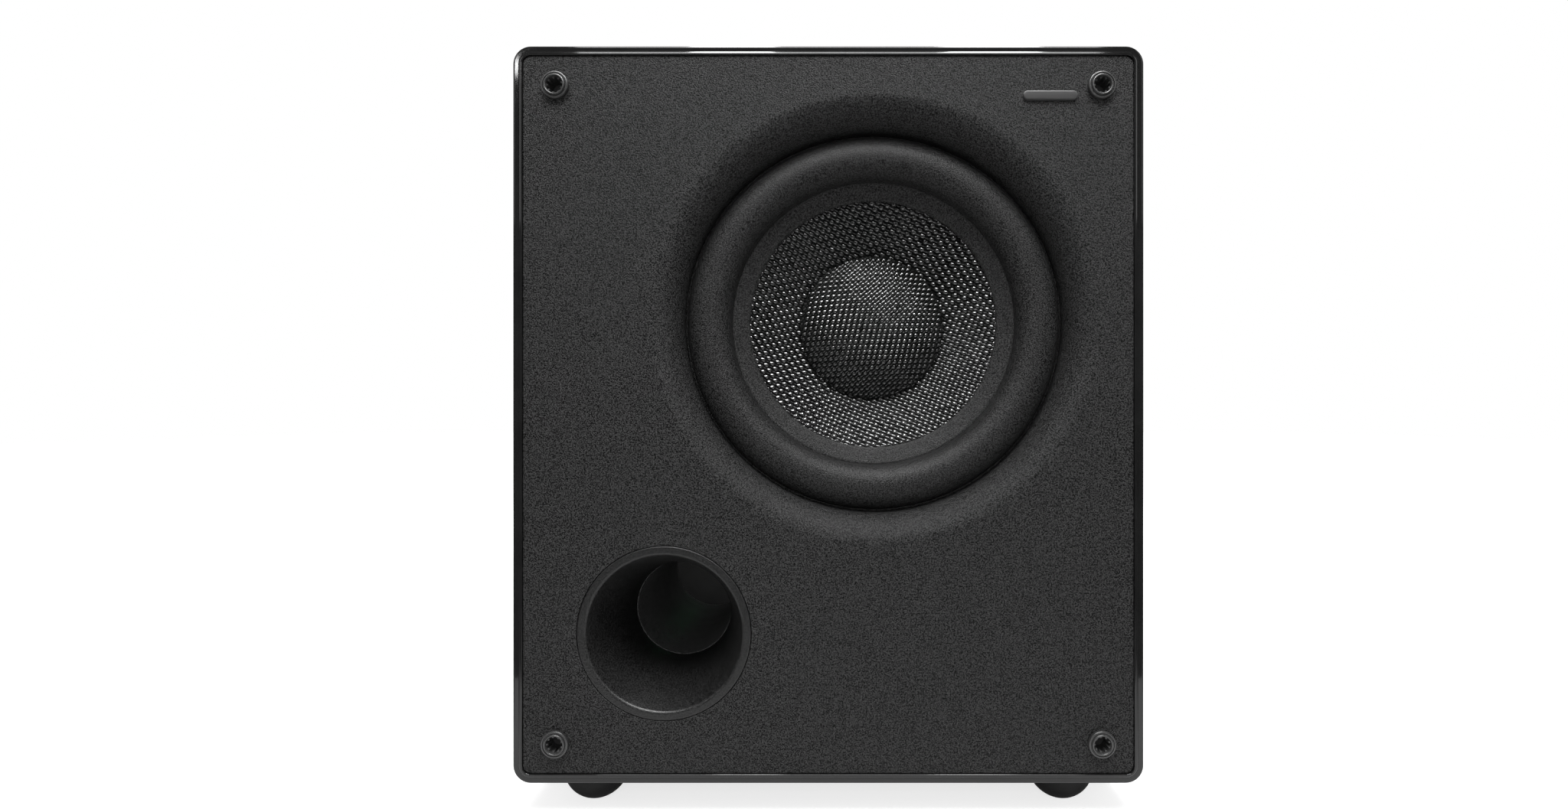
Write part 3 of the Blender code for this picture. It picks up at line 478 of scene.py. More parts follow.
def floor_paint():
    """A pale floor that keeps a soft shadow near the object and fades to white further out."""
    made = finish("floor", grey(0.40), grey(0.44), (0.6, 0.7), patch=2, grain=40)
    tree = made.node_tree
    shader = tree.nodes["Principled BSDF"].inputs
    place = node(tree, "ShaderNodeTexCoord").outputs["Object"]
    far = node(tree, "ShaderNodeVectorMath", {0: place}, operation="LENGTH").outputs["Value"]
    glow = between(tree, far, 0.72, 1.0, 0.66, 1.1)
    path = node(tree, "ShaderNodeLightPath").outputs
    for ray, share in (("Is Diffuse Ray", 0.05), ("Is Glossy Ray", 0.06)):
        inputs = {0: glow, 1: between(tree, path[ray], 1.0, share, 0, 1)}
        glow = node(tree, "ShaderNodeMath", inputs, operation="MULTIPLY").outputs[0]
    shader["Emission Color"].default_value = (1, 1, 1, 1)
    link(tree, glow, shader["Emission Strength"])
    # In what the gloss cabinet mirrors, the floor fades out to the sides.
    across = node(tree, "ShaderNodeSeparateXYZ", {0: place}).outputs["X"]
    aside = node(tree, "ShaderNodeMath", {0: across}, operation="ABSOLUTE").outputs[0]
    inputs = {0: between(tree, aside, 0.0, 0.97, 0.26, 0.50), 1: path["Is Glossy Ray"]}
    faded = node(tree, "ShaderNodeMath", inputs, operation="MULTIPLY").outputs[0]
    kept = between(tree, faded, 1.0, 0.0, 0, 1)
    inputs = {0: shader["Base Color"].links[0].from_socket, "Scale": kept}
    dimmed = node(tree, "ShaderNodeVectorMath", inputs, operation="SCALE").outputs["Vector"]
    link(tree, dimmed, shader["Base Color"])
    link(tree, between(tree, kept, 0.0, 0.5, 0, 1), shader["Specular IOR Level"])
    return made


FLOOR = floor_paint()
FLOOR_SPLIT_Y = -0.48


def stage():
    """The floor, the background and the lights. It returns the pieces that a light serves, where not all."""
    bpy.context.scene.view_settings.view_transform = "Standard"
    floor_piece("floor", 8, FLOOR_SPLIT_Y, 14)
    front = floor_piece("floor_front", 8, -6, FLOOR_SPLIT_Y)
    front.visible_glossy = front.visible_diffuse = False
    world()
    panel, port_x, port_z = (0, FRONT_Y, 0.28), *PORT
    area_light("strip_left", (-0.18, -0.15, 1.50), (0.15, 1.5), 20)
    area_light("strip_right", (0.305, -0.15, 1.50), (0.17, 1.5), 24)
    area_light("side_left", (-1.05, -1.05, 0.95), (0.5, 0.6), 2.4, panel)
    area_light("side_right", (1.05, -1.05, 0.95), (0.5, 0.6), 2.2, panel)
    area_light("key", (0.02, -0.95, 1.50), (1.1, 0.55), 30, (0.02, FRONT_Y, 0.28))
    area_light("back_light", (0, 1.6, 1.0), (1.2, 0.8), 14, (0, 0.2, 0.25))
    fill = area_light("fill", (0.0, -1.2, 0.35), (0.8, 0.6), 7.5, (0, FRONT_Y, 0.25))
    bore = area_light("bore_light", (port_x, -1.2, port_z), (0.06, 0.06), 50, (port_x, 0, port_z))
    inside, corner_below = (-0.06, FRONT_Y + 0.30, 0.20), (-0.17, FRONT_Y + 0.36, 0.06)
    cavity = area_light("cavity_light", inside, (0.1, 0.1), 0.3, corner_below)
    fill.visible_glossy = bore.visible_glossy = cavity.visible_glossy = False
    upper_left = (-0.19, FRONT_Y, 0.465)
    corner = area_light("corner_light", (-0.58, -1.21, 0.90), (0.02, 0.03), 0.07, upper_left)
    corner.rotation_euler.rotate_axis("Z", math.radians(30))
    return {corner: ("cabinet_lacquer",), bore: ("port_pipe", "port_inner_bell")}


# ------------------------------------------------------------------ cabinet


def cabinet():
    profile = [(WALL, CABINET_D), (EDGE_R + 0.0002, CABINET_D)]
    profile += arc((EDGE_R, CABINET_D - EDGE_R), EDGE_R, 90, 180, 6)
    profile += [(0, CABINET_D - EDGE_R - 0.0003), (0, EDGE_R + 0.0003)]
    profile += arc((EDGE_R, EDGE_R), EDGE_R, 180, 270, 8)
    # The border ends in a bead, whose crest stands forward of it.
    bead_r, lip, crest = 0.0022, 0.0004, -0.00094
    profile += [(EDGE_R + 0.0002, 0), (BORDER - 0.0027, 0)]
    profile += arc((BORDER - 0.0007, crest + bead_r), bead_r, 215, 270, 8)
    profile += arc((BORDER - lip, crest + lip), lip, -90, 0, 4)
    profile += [(BORDER, crest + lip + 0.0002), (BORDER, PANEL_T + GAP), (WALL, PANEL_T + GAP)]
    rings = frame_rings(profile, CABINET_W, CABINET_H, CORNER_R, (0, MIDDLE_Z), 14)
    shape = Shape(rings, closed=True)
    shape.piece("cabinet_lacquer", "gloss_lacquer", replaces=["cabinet_shell"], sharp=40)


def mouth_profile():
    """The driver's mouth: flat, then bending smoothly over into the throat."""
    start, steps = 0.1400, 26
    points = [(start + 0.0006, 0), (start, 0)]
    width = start - THROAT_R
    for k in range(1, steps + 1):
        a = math.radians(90) * k / steps
        points.append((start - width * math.sin(a) ** 1.25, FLARE_DEPTH * (1 - math.cos(a)) ** 1.1))
    return points + [(THROAT_R, PANEL_T)]


def front_panel():
    edge = 0.0010
    width, height = CABINET_W - 2 * BORDER, CABINET_H - 2 * BORDER
    outer = [(edge + 0.0003, 0), (edge + 0.0001, 0)]
    outer += arc((edge, edge), edge, 270, 180, 4)
    outer += [(0, edge + 0.0002), (0, PANEL_T)]
    rims = [frame_rings(outer, width, height, PANEL_CORNER_R, (0, MIDDLE_Z), 10)]
    rims.append(turned_rings(mouth_profile(), DRIVER, 224))
    seat_r, soft = PORT_FLANGE_R + GAP, 0.0004
    seat = [(seat_r + soft + 0.0003, 0), (seat_r + soft, 0)]
    seat += arc((seat_r + soft, soft), soft, 270, 180, 3)[1:]
    seat += [(seat_r, 0.0063), (0.0485, 0.0063), (0.0485, PANEL_T)]
    rims.append(turned_rings(seat, PORT, 160))
    for centre in SOCKETS.values():
        hole = [(0.0069, 0), (0.0067, 0), (0.0064, 0.0002), (0.0064, 0.0125), (0.0064, PANEL_T)]
        rims.append(turned_rings(hole, centre, 40))
    shape = Shape()
    shape.pierced(rims)
    shape.piece("front_panel_satin", "satin_panel", replaces=["front_panel"], sharp=30)


def upright_rings(profile, x, depth, sides):
    """Rings about a vertical axis from (radius, height) points."""
    middle = (x, FRONT_Y + depth)
    return [[(px, py, z) for px, py in circle(r, sides, middle)] for r, z in profile]


def feet():
    """Rubber domes with a flat underside, and a screw in the hole of each."""
    height, radius, flat = 0.0220 - GAP, 0.0215, 0.0071
    sphere_z = height - 0.0014
    start = math.acos(flat / radius)
    paint = finish("foot_rubber", grey(0.003), grey(0.007), (0.5, 0.6), grain=1400, bump=0.2, specular=0.2)
    angles = [start * k / 14 for k in range(1, 14)]
    rubber = [(0.002, height), (radius - 0.0006, height), (radius, height - 0.0006)]
    rubber += [(radius * math.cos(a), sphere_z - radius * math.sin(a)) for a in angles]
    rubber += [(flat, 0.0004), (flat - 0.0005, 0.00005), (0.0040, 0.00005)]
    rubber += [(0.0034, 0.0006), (0.0034, 0.010), (0.002, 0.010)]
    head = [(1e-7, 0.0072), (0.0022, 0.0074), (0.0031, 0.0082), (0.0031, 0.0099), (1e-7, 0.0099)]
    for end, depth in (("front", 0.035), ("rear", CABINET_D - 0.035)):
        for side, x in (("left", -0.1525), ("right", 0.1525)):
            name = f"foot_{end}_{side}"
            shape = Shape(upright_rings(rubber, x, depth, 64), closed=True)
            shape.piece(name + "_rubber", "black_rubber", replaces=[name], sharp=40, material=paint)
            Shape(upright_rings(head, x, depth, 32)).piece(name + "_screw", "zinc_steel")


def sockets():
    """Rubber cups: an outer ring, a groove, a raised inner ring and a deep hole with short ribs."""
    outer, hole, top = 0.0084, 0.0050, -0.0040
    profile = [(0.0060, 0.0118), (0.0060, -GAP), (outer - 0.0002, -GAP), (outer, -0.0006)]
    profile += arc((outer - 0.0006, top + 0.0014), 0.0006, 0, -90, 4)
    profile += [(0.0074, top + 0.0008), (0.0071, top + 0.0014)]
    profile += [(0.0068, top + 0.0014), (0.0065, top + 0.0005)]
    profile += arc((0.0059, top + 0.0005), 0.0006, 0, -180, 6)[1:]
    profile += [(hole + 0.0001, top + 0.0011), (hole, top + 0.0015), (hole, 0.0098), (1e-7, 0.0098)]
    ribs = 9
    corners = [(hole + 0.0002, 0.17), (0.0043, 0.16), (0.0039, 0.07)]
    corners += [(radius, -turn) for radius, turn in corners[::-1]]
    paint = finish(
        "socket_rubber", grey(0.014), grey(0.022), (0.30, 0.40), grain=1500, bump=0.1, specular=0.7
    )
    for name, centre in SOCKETS.items():
        shape = Shape(turned_rings([*profile, (1e-7, 0.0118)], centre, 72), closed=True)
        for k in range(ribs):
            a = TAU * (k + 0.5) / ribs
            rings = []
            for inset, depth in ((0.0003, top + 0.0016), (0, top + 0.0020), (0, 0.0030)):
                ring = []
                for radius, turn in corners:
                    r, t = radius + (inset if radius < hole else 0), a + turn * (1 - inset * 600)
                    ring.append((centre[0] + r * math.cos(t), centre[1] + r * math.sin(t)))
                rings.append(at(ring, depth))
            shape.capped(rings)
        node_name = f"grille_socket_{name}"
        shape.piece(f"socket_{name}", "black_rubber", replaces=[node_name], sharp=50, material=paint)


def badge():
    """A plain bar with rounded ends."""
    width, height, centre = 0.034, 0.006, (0.137, 0.447)
    profile = [(0, -GAP), (0, -0.0012), (0.0002, -0.0016), (0.0006, -0.00178), (0.0014, -0.0018)]
    shape = Shape()
    shape.capped(frame_rings(profile, width, height, height / 2 - 0.00001, centre))
    shape.piece("trim_bar", "badge_metal", replaces=["badge"], sharp=50)


# --------------------------------------------------------------------- port


def port_curve(depth):
    """The radius of the horn at a depth."""
    end_r = PORT_R + 0.0006
    return end_r + (PORT_HORN_R - end_r) * (1 - depth / PORT_FLARE_DEPTH) ** PORT_HORN_POWER


def port():
    soft = 0.0007
    bore = [(port_curve(d), d) for d in (PORT_FLARE_DEPTH * (1 - k / 30) for k in range(29))]
    mouth = [(PORT_FLANGE_R - soft - 0.0004, 0)]
    mouth += arc((PORT_FLANGE_R - soft, soft), soft, -90, 0, 4)
    mouth += [(PORT_FLANGE_R, 0.006), (0.0479, 0.006), (port_curve(0.026) + 0.003, 0.026)]
    mouth += [(port_curve(0.040) + 0.003, 0.040), (0.0393, 0.052), (0.0393, 0.090), (0.0363, 0.090)]
    mouth += [(0.0363, 0.072), (port_curve(PORT_FLARE_DEPTH), 0.072), *bore]
    mouth += arc((PORT_MOUTH_R, PORT_SOFT), PORT_SOFT, 196, 270, 8)
    mouth.append((PORT_MOUTH_R + 0.0003, 0))
    turned("port_mouth_flare", mouth, PORT, "port_plastic", 160, ["port_flare"], sharp=40)
    tube = [(0.036, 0.0723), (0.036, 0.215), (PORT_R, 0.215)]
    tube += [(PORT_R, 0.0735), (PORT_R + 0.0003, 0.0728), (PORT_R + 0.0009, 0.0723)]
    turned("port_pipe", tube, PORT, "port_plastic", 96, ["port_tube"])
    opening, start, end = 0.014, 0.2153, 0.245
    length = end - start
    angles = [math.radians(90) * k / 12 for k in range(13)]
    flare = [(PORT_R + opening * (1 - math.cos(a)), start + length * math.sin(a)) for a in angles]
    outside = [(r + 0.003, d - 0.001) for r, d in flare[7:]]
    inner = [(0.0393, 0.197), (0.0393, 0.221), *outside, (outside[-1][0], end)]
    inner += [*flare[::-1], (0.0363, start), (0.0363, 0.197)]
    turned("port_inner_bell", inner, PORT, "port_plastic", 96, ["port_inner_flare"])


# ------------------------------------------------------------------- driver


def bend_weights(obj, weight_of):
    """Lets obj bend between the cabinet and the cone, by a weight from each point's radius and depth."""
    (x, z), mesh = DRIVER, obj.data
    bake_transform(obj, "root", "driver_cone", (x, FRONT_Y, z), (x, FRONT_Y + 0.1, z))
    co = np.empty(len(mesh.vertices) * 3, np.float32)
    mesh.vertices.foreach_get("co", co)
    co = co.reshape(-1, 3)
    radius = np.hypot(co[:, 0] - x, co[:, 2] - z)
    t = np.clip(weight_of(radius, co[:, 1] - FRONT_Y), 0, 1)
    mesh.attributes["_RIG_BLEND"].data.foreach_set("value", (t * t * (3 - 2 * t)).astype(np.float32))


def landing_depth(radius):
    """The slope on which the rubber lies on the cone's rim."""
    return LANDING_DEPTH + LANDING_SLOPE * (ROLL_INNER_R - radius)


def surround():
    """A half roll of rubber, with a flat landing on the cone and a lip on the basket's flange."""
    centre_r = (ROLL_OUTER_R + ROLL_INNER_R) / 2
    half = (ROLL_OUTER_R - ROLL_INNER_R) / 2
    lip_depth = FLANGE_DEPTH - GAP - 0.0007
    steps = 40

    def roll(half_width, height, drop):
        """The roll from its inner to its outer edge, as (radius, depth) points."""
        points = []
        for k in range(steps + 1):
            a = math.pi * (1 - k / steps)
            along = (1 + math.cos(a)) / 2
            base = LANDING_DEPTH + (lip_depth - LANDING_DEPTH) * along + drop
            points.append((centre_r + half_width * math.cos(a), base - height * math.sin(a)))
        return points

    landing = []
    for out, lift in ((0.0007, -0.0007), (0, -0.0005), (0.0001, -0.0001), (0.0005, 0.0002), (0.0010, 0.0002)):
        landing.append((LANDING_R + out, landing_depth(LANDING_R + out) - lift))
    for back, lift in ((0.0020, 0.0002), (0.0010, 0.0001), (0.0005, -0.0002)):
        landing.append((ROLL_INNER_R - back, landing_depth(ROLL_INNER_R - back) - lift))
    top = roll(half, ROLL_H, 0)[1:]
    under = roll(half - 0.001, ROLL_H - 0.0003, 0.0007)
    profile = [*landing, *top, (ROLL_OUTER_R + 0.0006, lip_depth - 0.0001), (LIP_R, lip_depth)]
    profile += [(LIP_R, lip_depth + 0.0007), *under[::-1], (ROLL_INNER_R, LANDING_DEPTH + RUBBER_SKIN)]
    shape = Shape(turned_rings(profile, DRIVER, 224), closed=True)
    obj = shape.piece("surround_rubber", "black_rubber", body=None, replaces=["surround"], sharp=60)
    bend_weights(obj, lambda r, d: (ROLL_OUTER_R - r) / (ROLL_OUTER_R - ROLL_INNER_R))


def cone_depth(radius):
    rim = landing_depth(np.maximum(radius, CONE_BEND_R)) + RUBBER_SKIN + GAP
    along = np.clip((CONE_BEND_R - radius) / (CONE_BEND_R - NECK_R), 0, None)
    return rim + (NECK_DEPTH - rim) * along**0.9


def cap_depth(radius):
    return CAP_APEX + (CAP_DEPTH - CAP_APEX) * (radius / CAP_R) ** 2


# The weave, in yarn widths: how far the yarns rise and fall, how round warp and weft are on top, and how much
# further forward the warp lies. A yarn is wider one way than the other.
WEAVE_RISE, WARP_SWELL, WARP_BIAS, WEFT_SWELL, WEAVE_MEAN = 0.28, 0.30, 0.10, 0.14, 0.32
ROUNDNESS, BEND_SHARPNESS, YARN_SHAPE = 0.45, 0.85, (0.88, 1.14)
YARNS, FIRST_YARN, STEPS_PER_YARN = 400, 150, 7


def plain_weave(u, v, rng):
    """The upper surface of a plain weave, all in yarn widths: fat warp crowns over a thinner weft."""
    i, j = np.floor(u).astype(int), np.floor(v).astype(int)
    thick = 1 + 0.08 * rng.standard_normal(YARNS)
    sag = 0.018 * rng.standard_normal((YARNS, YARNS))
    section_u, section_v = (
        np.clip(1 - (2 * across - 1) ** 2, 0, 1) ** ROUNDNESS for across in (u - i, v - j)
    )
    rise_u, rise_v = (
        WEAVE_RISE * np.sign(w) * np.abs(w) ** BEND_SHARPNESS for w in (np.sin(np.pi * u), np.sin(np.pi * v))
    )
    warp = rise_v * (-1.0) ** i + WARP_SWELL * section_u * thick[i % YARNS] + WARP_BIAS
    weft = -rise_u * (-1.0) ** j + WEFT_SWELL * section_v * thick[(j + YARNS // 2) % YARNS]
    return np.maximum(warp, weft) + sag[i % YARNS, j % YARNS] - WEAVE_MEAN


def yarn_lift(u, v, pitch, seed):
    """How far the yarns stand above the skin at u, v, in yarn widths. Their rows wander a little."""
    rng = np.random.default_rng(seed)
    phase = rng.uniform(0, TAU, 6)
    drift_u = 0.22 * np.sin(u * 42 + v * 17 + phase[0]) + 0.12 * np.sin(v * 95 + phase[1])
    drift_v = 0.22 * np.sin(v * 38 - u * 21 + phase[2]) + 0.12 * np.sin(u * 90 + phase[3])
    warp_width, weft_width = (pitch * share for share in YARN_SHAPE)
    return plain_weave(u / warp_width + drift_u + FIRST_YARN, v / weft_width + drift_v + FIRST_YARN, rng)


def disc_grid(inner, outer, step):
    """A square grid between two radii, as u, v and quads, its ragged edge drawn out to the true radius."""
    n = int(outer / step) + 1
    line = np.arange(-n, n + 1) * step
    u, v = np.meshgrid(line, line, indexing="ij")
    radius = np.hypot(u, v)
    inside = (radius <= outer - step * 0.2) & (radius >= inner + step * 0.2)
    i, j = np.nonzero(inside[:-1, :-1] & inside[1:, :-1] & inside[1:, 1:] & inside[:-1, 1:])
    size = 2 * n + 1
    first = i * size + j
    quads = np.stack([first, first + size, first + size + 1, first + 1], 1)
    used, packed = np.unique(quads, return_inverse=True)
    quads = packed.reshape(-1, 4)
    u, v = u.ravel()[used], v.ravel()[used]
    edges = np.sort(np.concatenate([quads[:, [k, (k + 1) % 4]] for k in range(4)]), axis=1)
    unique, count = np.unique(edges, axis=0, return_counts=True)
    rim = np.unique(unique[count == 1])
    radius = np.hypot(u[rim], v[rim])
    target = np.where(radius > (inner + outer) / 2, outer, inner)
    u[rim] *= target / radius
    v[rim] *= target / radius
    return u, v, quads


def close_behind(shape, inner, outer, plain):
    """Bridges the open edges of a skin to the ends of a plain turned shape behind it."""
    loops = {True: [], False: []}
    for edge in shape.edges:
        if len(edge.link_faces) == 1:
            x, _, z = edge.verts[0].co
            loops[math.hypot(x - DRIVER[0], z - DRIVER[1]) > (inner + outer) / 2].append(edge)
    rings = [[shape.verts.new(p) for p in ring] for ring in turned_rings(plain, DRIVER, 160)]
    hoops = [around(ring) for ring in rings]
    for one, two in zip(hoops, hoops[1:]):
        for (a, b), (c, d) in zip(one, two):
            shape.faces.new((a, c, d, b))
    bmesh.ops.bridge_loops(shape, edges=loops[True] + [shape.edges.get(pair) for pair in hoops[0]])
    if inner:
        bmesh.ops.bridge_loops(shape, edges=loops[False] + [shape.edges.get(pair) for pair in hoops[-1]])
    else:
        shape.faces.new(rings[-1])


def woven_skin(name, radii, depth_of, pitch, turn, plain, replaces, seed):
    """A skin whose front has the relief of the yarns between two radii; plain closes it behind."""
    inner, outer = radii
    u, v, quads = disc_grid(inner, outer, pitch / STEPS_PER_YARN)
    radius = np.hypot(u, v)
    lift = yarn_lift(u, v, pitch, seed)
    # crown is each point's height in the weave; the fibre material uses it to paint shade into the gaps
    # between the yarns.
    crown = np.clip(lift / (2 * WEAVE_RISE) + 0.5, 0, 1)
    lift = np.where(radius > outer - 0.0012, np.minimum(lift, 0), lift) * pitch
    slope = (depth_of(radius + 1e-4) - depth_of(radius - 1e-4)) / 2e-4
    length = np.sqrt(1 + slope**2)
    out = np.where(radius > 1e-9, lift * slope / length / np.maximum(radius, 1e-9), 0)
    c, s = math.cos(turn), math.sin(turn)
    u, v, depth = u * (1 + out), v * (1 + out), depth_of(radius) - lift / length
    points = np.stack([DRIVER[0] + u * c - v * s, FRONT_Y + depth, DRIVER[1] + u * s + v * c], 1)
    mesh = bpy.data.meshes.new(name)
    mesh.from_pydata(points.tolist(), [], quads.tolist())
    mesh.attributes.new("crown", "FLOAT", "POINT").data.foreach_set("value", crown.astype(np.float32))
    shape = bmesh.new()
    shape.from_mesh(mesh)
    close_behind(shape, inner, outer, plain)
    bmesh.ops.recalc_face_normals(shape, faces=shape.faces)
    for face in shape.faces:
        face.smooth = True
    shape.to_mesh(mesh)
    shape.free()
    place(mesh, name, "woven_fibre", "driver_cone", replaces)


def profile_of(depth_of, start, end, steps, behind=0.0):
    """(radius, depth) points along depth_of from one radius to another, moved back by behind."""
    radii = [start + (end - start) * k / steps for k in range(steps + 1)]
    return [(r, float(depth_of(np.array(r))) + behind) for r in radii]


def moving_assembly():
    inner, outer, rim = 0.0458, LANDING_R + 0.0010, CONE_R - 0.0035
    plain = profile_of(cone_depth, outer + 0.0006, rim, 3)
    plain += profile_of(cone_depth, rim, NECK_R, 12, CONE_T)
    plain += profile_of(cone_depth, NECK_R, inner - 0.0008, 4)
    woven_skin("cone_weave", (inner, outer), cone_depth, 0.0028, math.radians(68), plain, ["cone"], 11)
    plain = [(CAP_R, CAP_DEPTH + 0.0006), *profile_of(cap_depth, CAP_R - 0.0008, 0.0004, 10, 0.0018)]
    woven_skin("dust_cap_weave", (0, CAP_R), cap_depth, 0.0025, math.radians(-50), plain, ["dust_cap"], 23)


def spider():
    """A corrugated cloth between the basket and the coil."""
    rest = LEDGE_DEPTH - GAP - 0.0008
    start, width, wave, steps = 0.031, 0.036, 0.012, 60
    top = [(COIL_R + GAP, rest), (0.029, rest)]
    for k in range(steps + 1):
        r = start + width * k / steps
        top.append((r, rest + 0.0020 * math.sin(TAU * (r - start) / wave)))
    top += [(0.069, rest), (0.076, rest)]
    under = [(r, d + 0.0008) for r, d in top]
    shape = Shape(turned_rings([*top, *under[::-1]], DRIVER, 96), closed=True)
    obj = shape.piece("spider_cloth", "treated_cloth", body=None, replaces=["spider"], sharp=60)
    bend_weights(obj, lambda r, d: (0.070 - r) / (0.070 - 0.029))


def leads():
    """The two braids from the terminal to the cone, as (depth, height above the driver's middle) stops."""
    x0, z0 = DRIVER
    stops = [
        (0.0690, -0.0900), (0.0620, -0.0960), (0.0520, -0.0900),
        (0.0560, -0.0720), (0.0570, -0.0580), (0.0530, -0.0480),
    ]
    for side, offset in (("left", -0.008), ("right", 0.008)):
        shape = Shape()
        shape.tube(smooth_path([(x0 + offset, d, z0 + dz) for d, dz in stops], 40), 0.0008, 8)
        obj = shape.piece(f"tinsel_braid_{side}", "copper", body=None, replaces=[f"tinsel_lead_{side}"])
        bend_weights(obj, lambda r, d: (0.092 - r) / (0.092 - 0.056))


def smooth_path(points, count):
    """Points on a Catmull-Rom curve through the given ones."""
    p = [np.array(q, float) for q in points]
    p = [2 * p[0] - p[1], *p, 2 * p[-1] - p[-2]]
    spans = len(points) - 1
    out = []
    for k in range(count + 1):
        t = k / count * spans
        s = min(int(t), spans - 1)
        t -= s
        a, b, c, d = p[s : s + 4]
        square, cube = 2 * a - 5 * b + 4 * c - d, 3 * b - a - 3 * c + d
        out.append(0.5 * (2 * b + (c - a) * t + square * t**2 + cube * t**3))
    return [tuple(q) for q in out]


# --------------------------------------------------------------------- back


def screw_heads(name, spots, base, radius, height):
    """Pan-head screws with a cross recess, whose heads stand on a face at depth base and point backwards."""
    shape = Shape()
    for n, (x, z) in enumerate(spots):
        arm, half = radius * 0.55, radius * 0.13
        outline = [(arm, half), (half, half), (half, arm), (-half, arm), (-half, half), (-arm, half)]
        outline += [(-px, -pz) for px, pz in outline]
        a = 0.3 + n * 1.1
        c, s = math.cos(a), math.sin(a)
        outline = [(x + px * c - pz * s, z + px * s + pz * c) for px, pz in outline]
        soft = height * 0.55
        profile = [(radius, base + GAP / 3), (radius, base + height - soft)]
        profile += arc((radius - soft, base + height - soft), soft, 0, 90, 5)[1:]
        rings = turned_rings(profile, (x, z), 32)
        shape.sunk(rings, [at(outline, base + height), at(outline, base + height * 0.35)])
    shape.piece(name, "zinc_steel", sharp=40)


def amplifier_plate():
    edge = 0.0006
    outer = [(edge + 0.0004, PLATE_BACK), (edge + 0.0001, PLATE_BACK)]
    outer += arc((edge, PLATE_BACK - edge), edge, 90, 180, 3)
    outer += [(0, PLATE_BACK - edge - 0.0002), (0, PLATE_DEPTH)]
    rims = [frame_rings(outer, PLATE_W, PLATE_H, 0.006, (0, MIDDLE_Z), 8)]

    def hole(points):
        rims.append([at(points, PLATE_BACK), at(points, PLATE_DEPTH)])

    for x in KNOBS.values():
        hole(circle(0.0038, 28, (x, CONTROL_Z)))
    for x in SLIDERS.values():
        hole(rounded(0.0092, 0.0044, 0.0004, (x, CONTROL_Z), 3))
    hole(circle(0.0027, 24, (LED_X, CONTROL_Z)))
    hole(rounded(0.0270, 0.0200, 0.0010, (INLET_X, MAINS_Z), 3))
    hole(rounded(0.0132, 0.0192, 0.0006, (ROCKER_X, MAINS_Z), 3))
    hole(circle(0.0057, 32, (FUSE_X, MAINS_Z)))
    for z in JACKS.values():
        hole(circle(0.0045, 28, (KNOBS["crossover"], z)))
    shape = Shape()
    shape.pierced(rims)
    shape.piece("amplifier_plate", "black_aluminium", replaces=["amp_plate"], sharp=40)
    w, h = PLATE_W / 2 - 0.007, PLATE_H / 2 - 0.007
    spots = [(sx * w, MIDDLE_Z + sz * h) for sx in (-1, 1) for sz in (-1, -0.34, 0.34, 1)]
    spots += [(0, MIDDLE_Z + h), (0, MIDDLE_Z - h)]
    screw_heads("plate_screws", spots, PLATE_BACK, 0.0036, 0.0022)


def heatsink():
    """Upright fins with round tips and small fillets at their feet, all one extrusion."""
    fins, half, fin_t = 13, 0.096, 0.0024
    near, tip = PLATE_BACK + GAP, CABINET_D + 0.020
    base = near + 0.003
    pitch = (2 * half - fin_t) / (fins - 1)
    round_r = fin_t / 2
    outline = [(half, near), (-half, near)]
    for k in range(fins):
        left = -half + k * pitch
        right = left + fin_t
        if k == 0:
            outline.append((left, base + 0.001))
        else:
            outline += [(left - 0.0012, base), (left - 0.0004, base + 0.0004), (left, base + 0.0014)]
        outline += arc((left + round_r, tip - round_r), round_r, 180, 0, 8)
        if k == fins - 1:
            outline.append((right, base + 0.001))
        else:
            outline += [(right, base + 0.0014), (right + 0.0004, base + 0.0004), (right + 0.0012, base)]
    middle_z, half_height, soft = MIDDLE_Z + 0.088, 0.038, 0.0004
    low, high = middle_z - half_height, middle_z + half_height
    section = [(x, FRONT_Y + d) for x, d in outline]
    shape = Shape([[(x, y, z) for x, y in section] for z in (low, low + soft, high - soft, high)])
    for z in (low, high):
        shape.fill([(x, y, z) for x, y in section])
    shape.piece("heatsink_fins", "black_aluminium", replaces=["heatsink"], sharp=35)


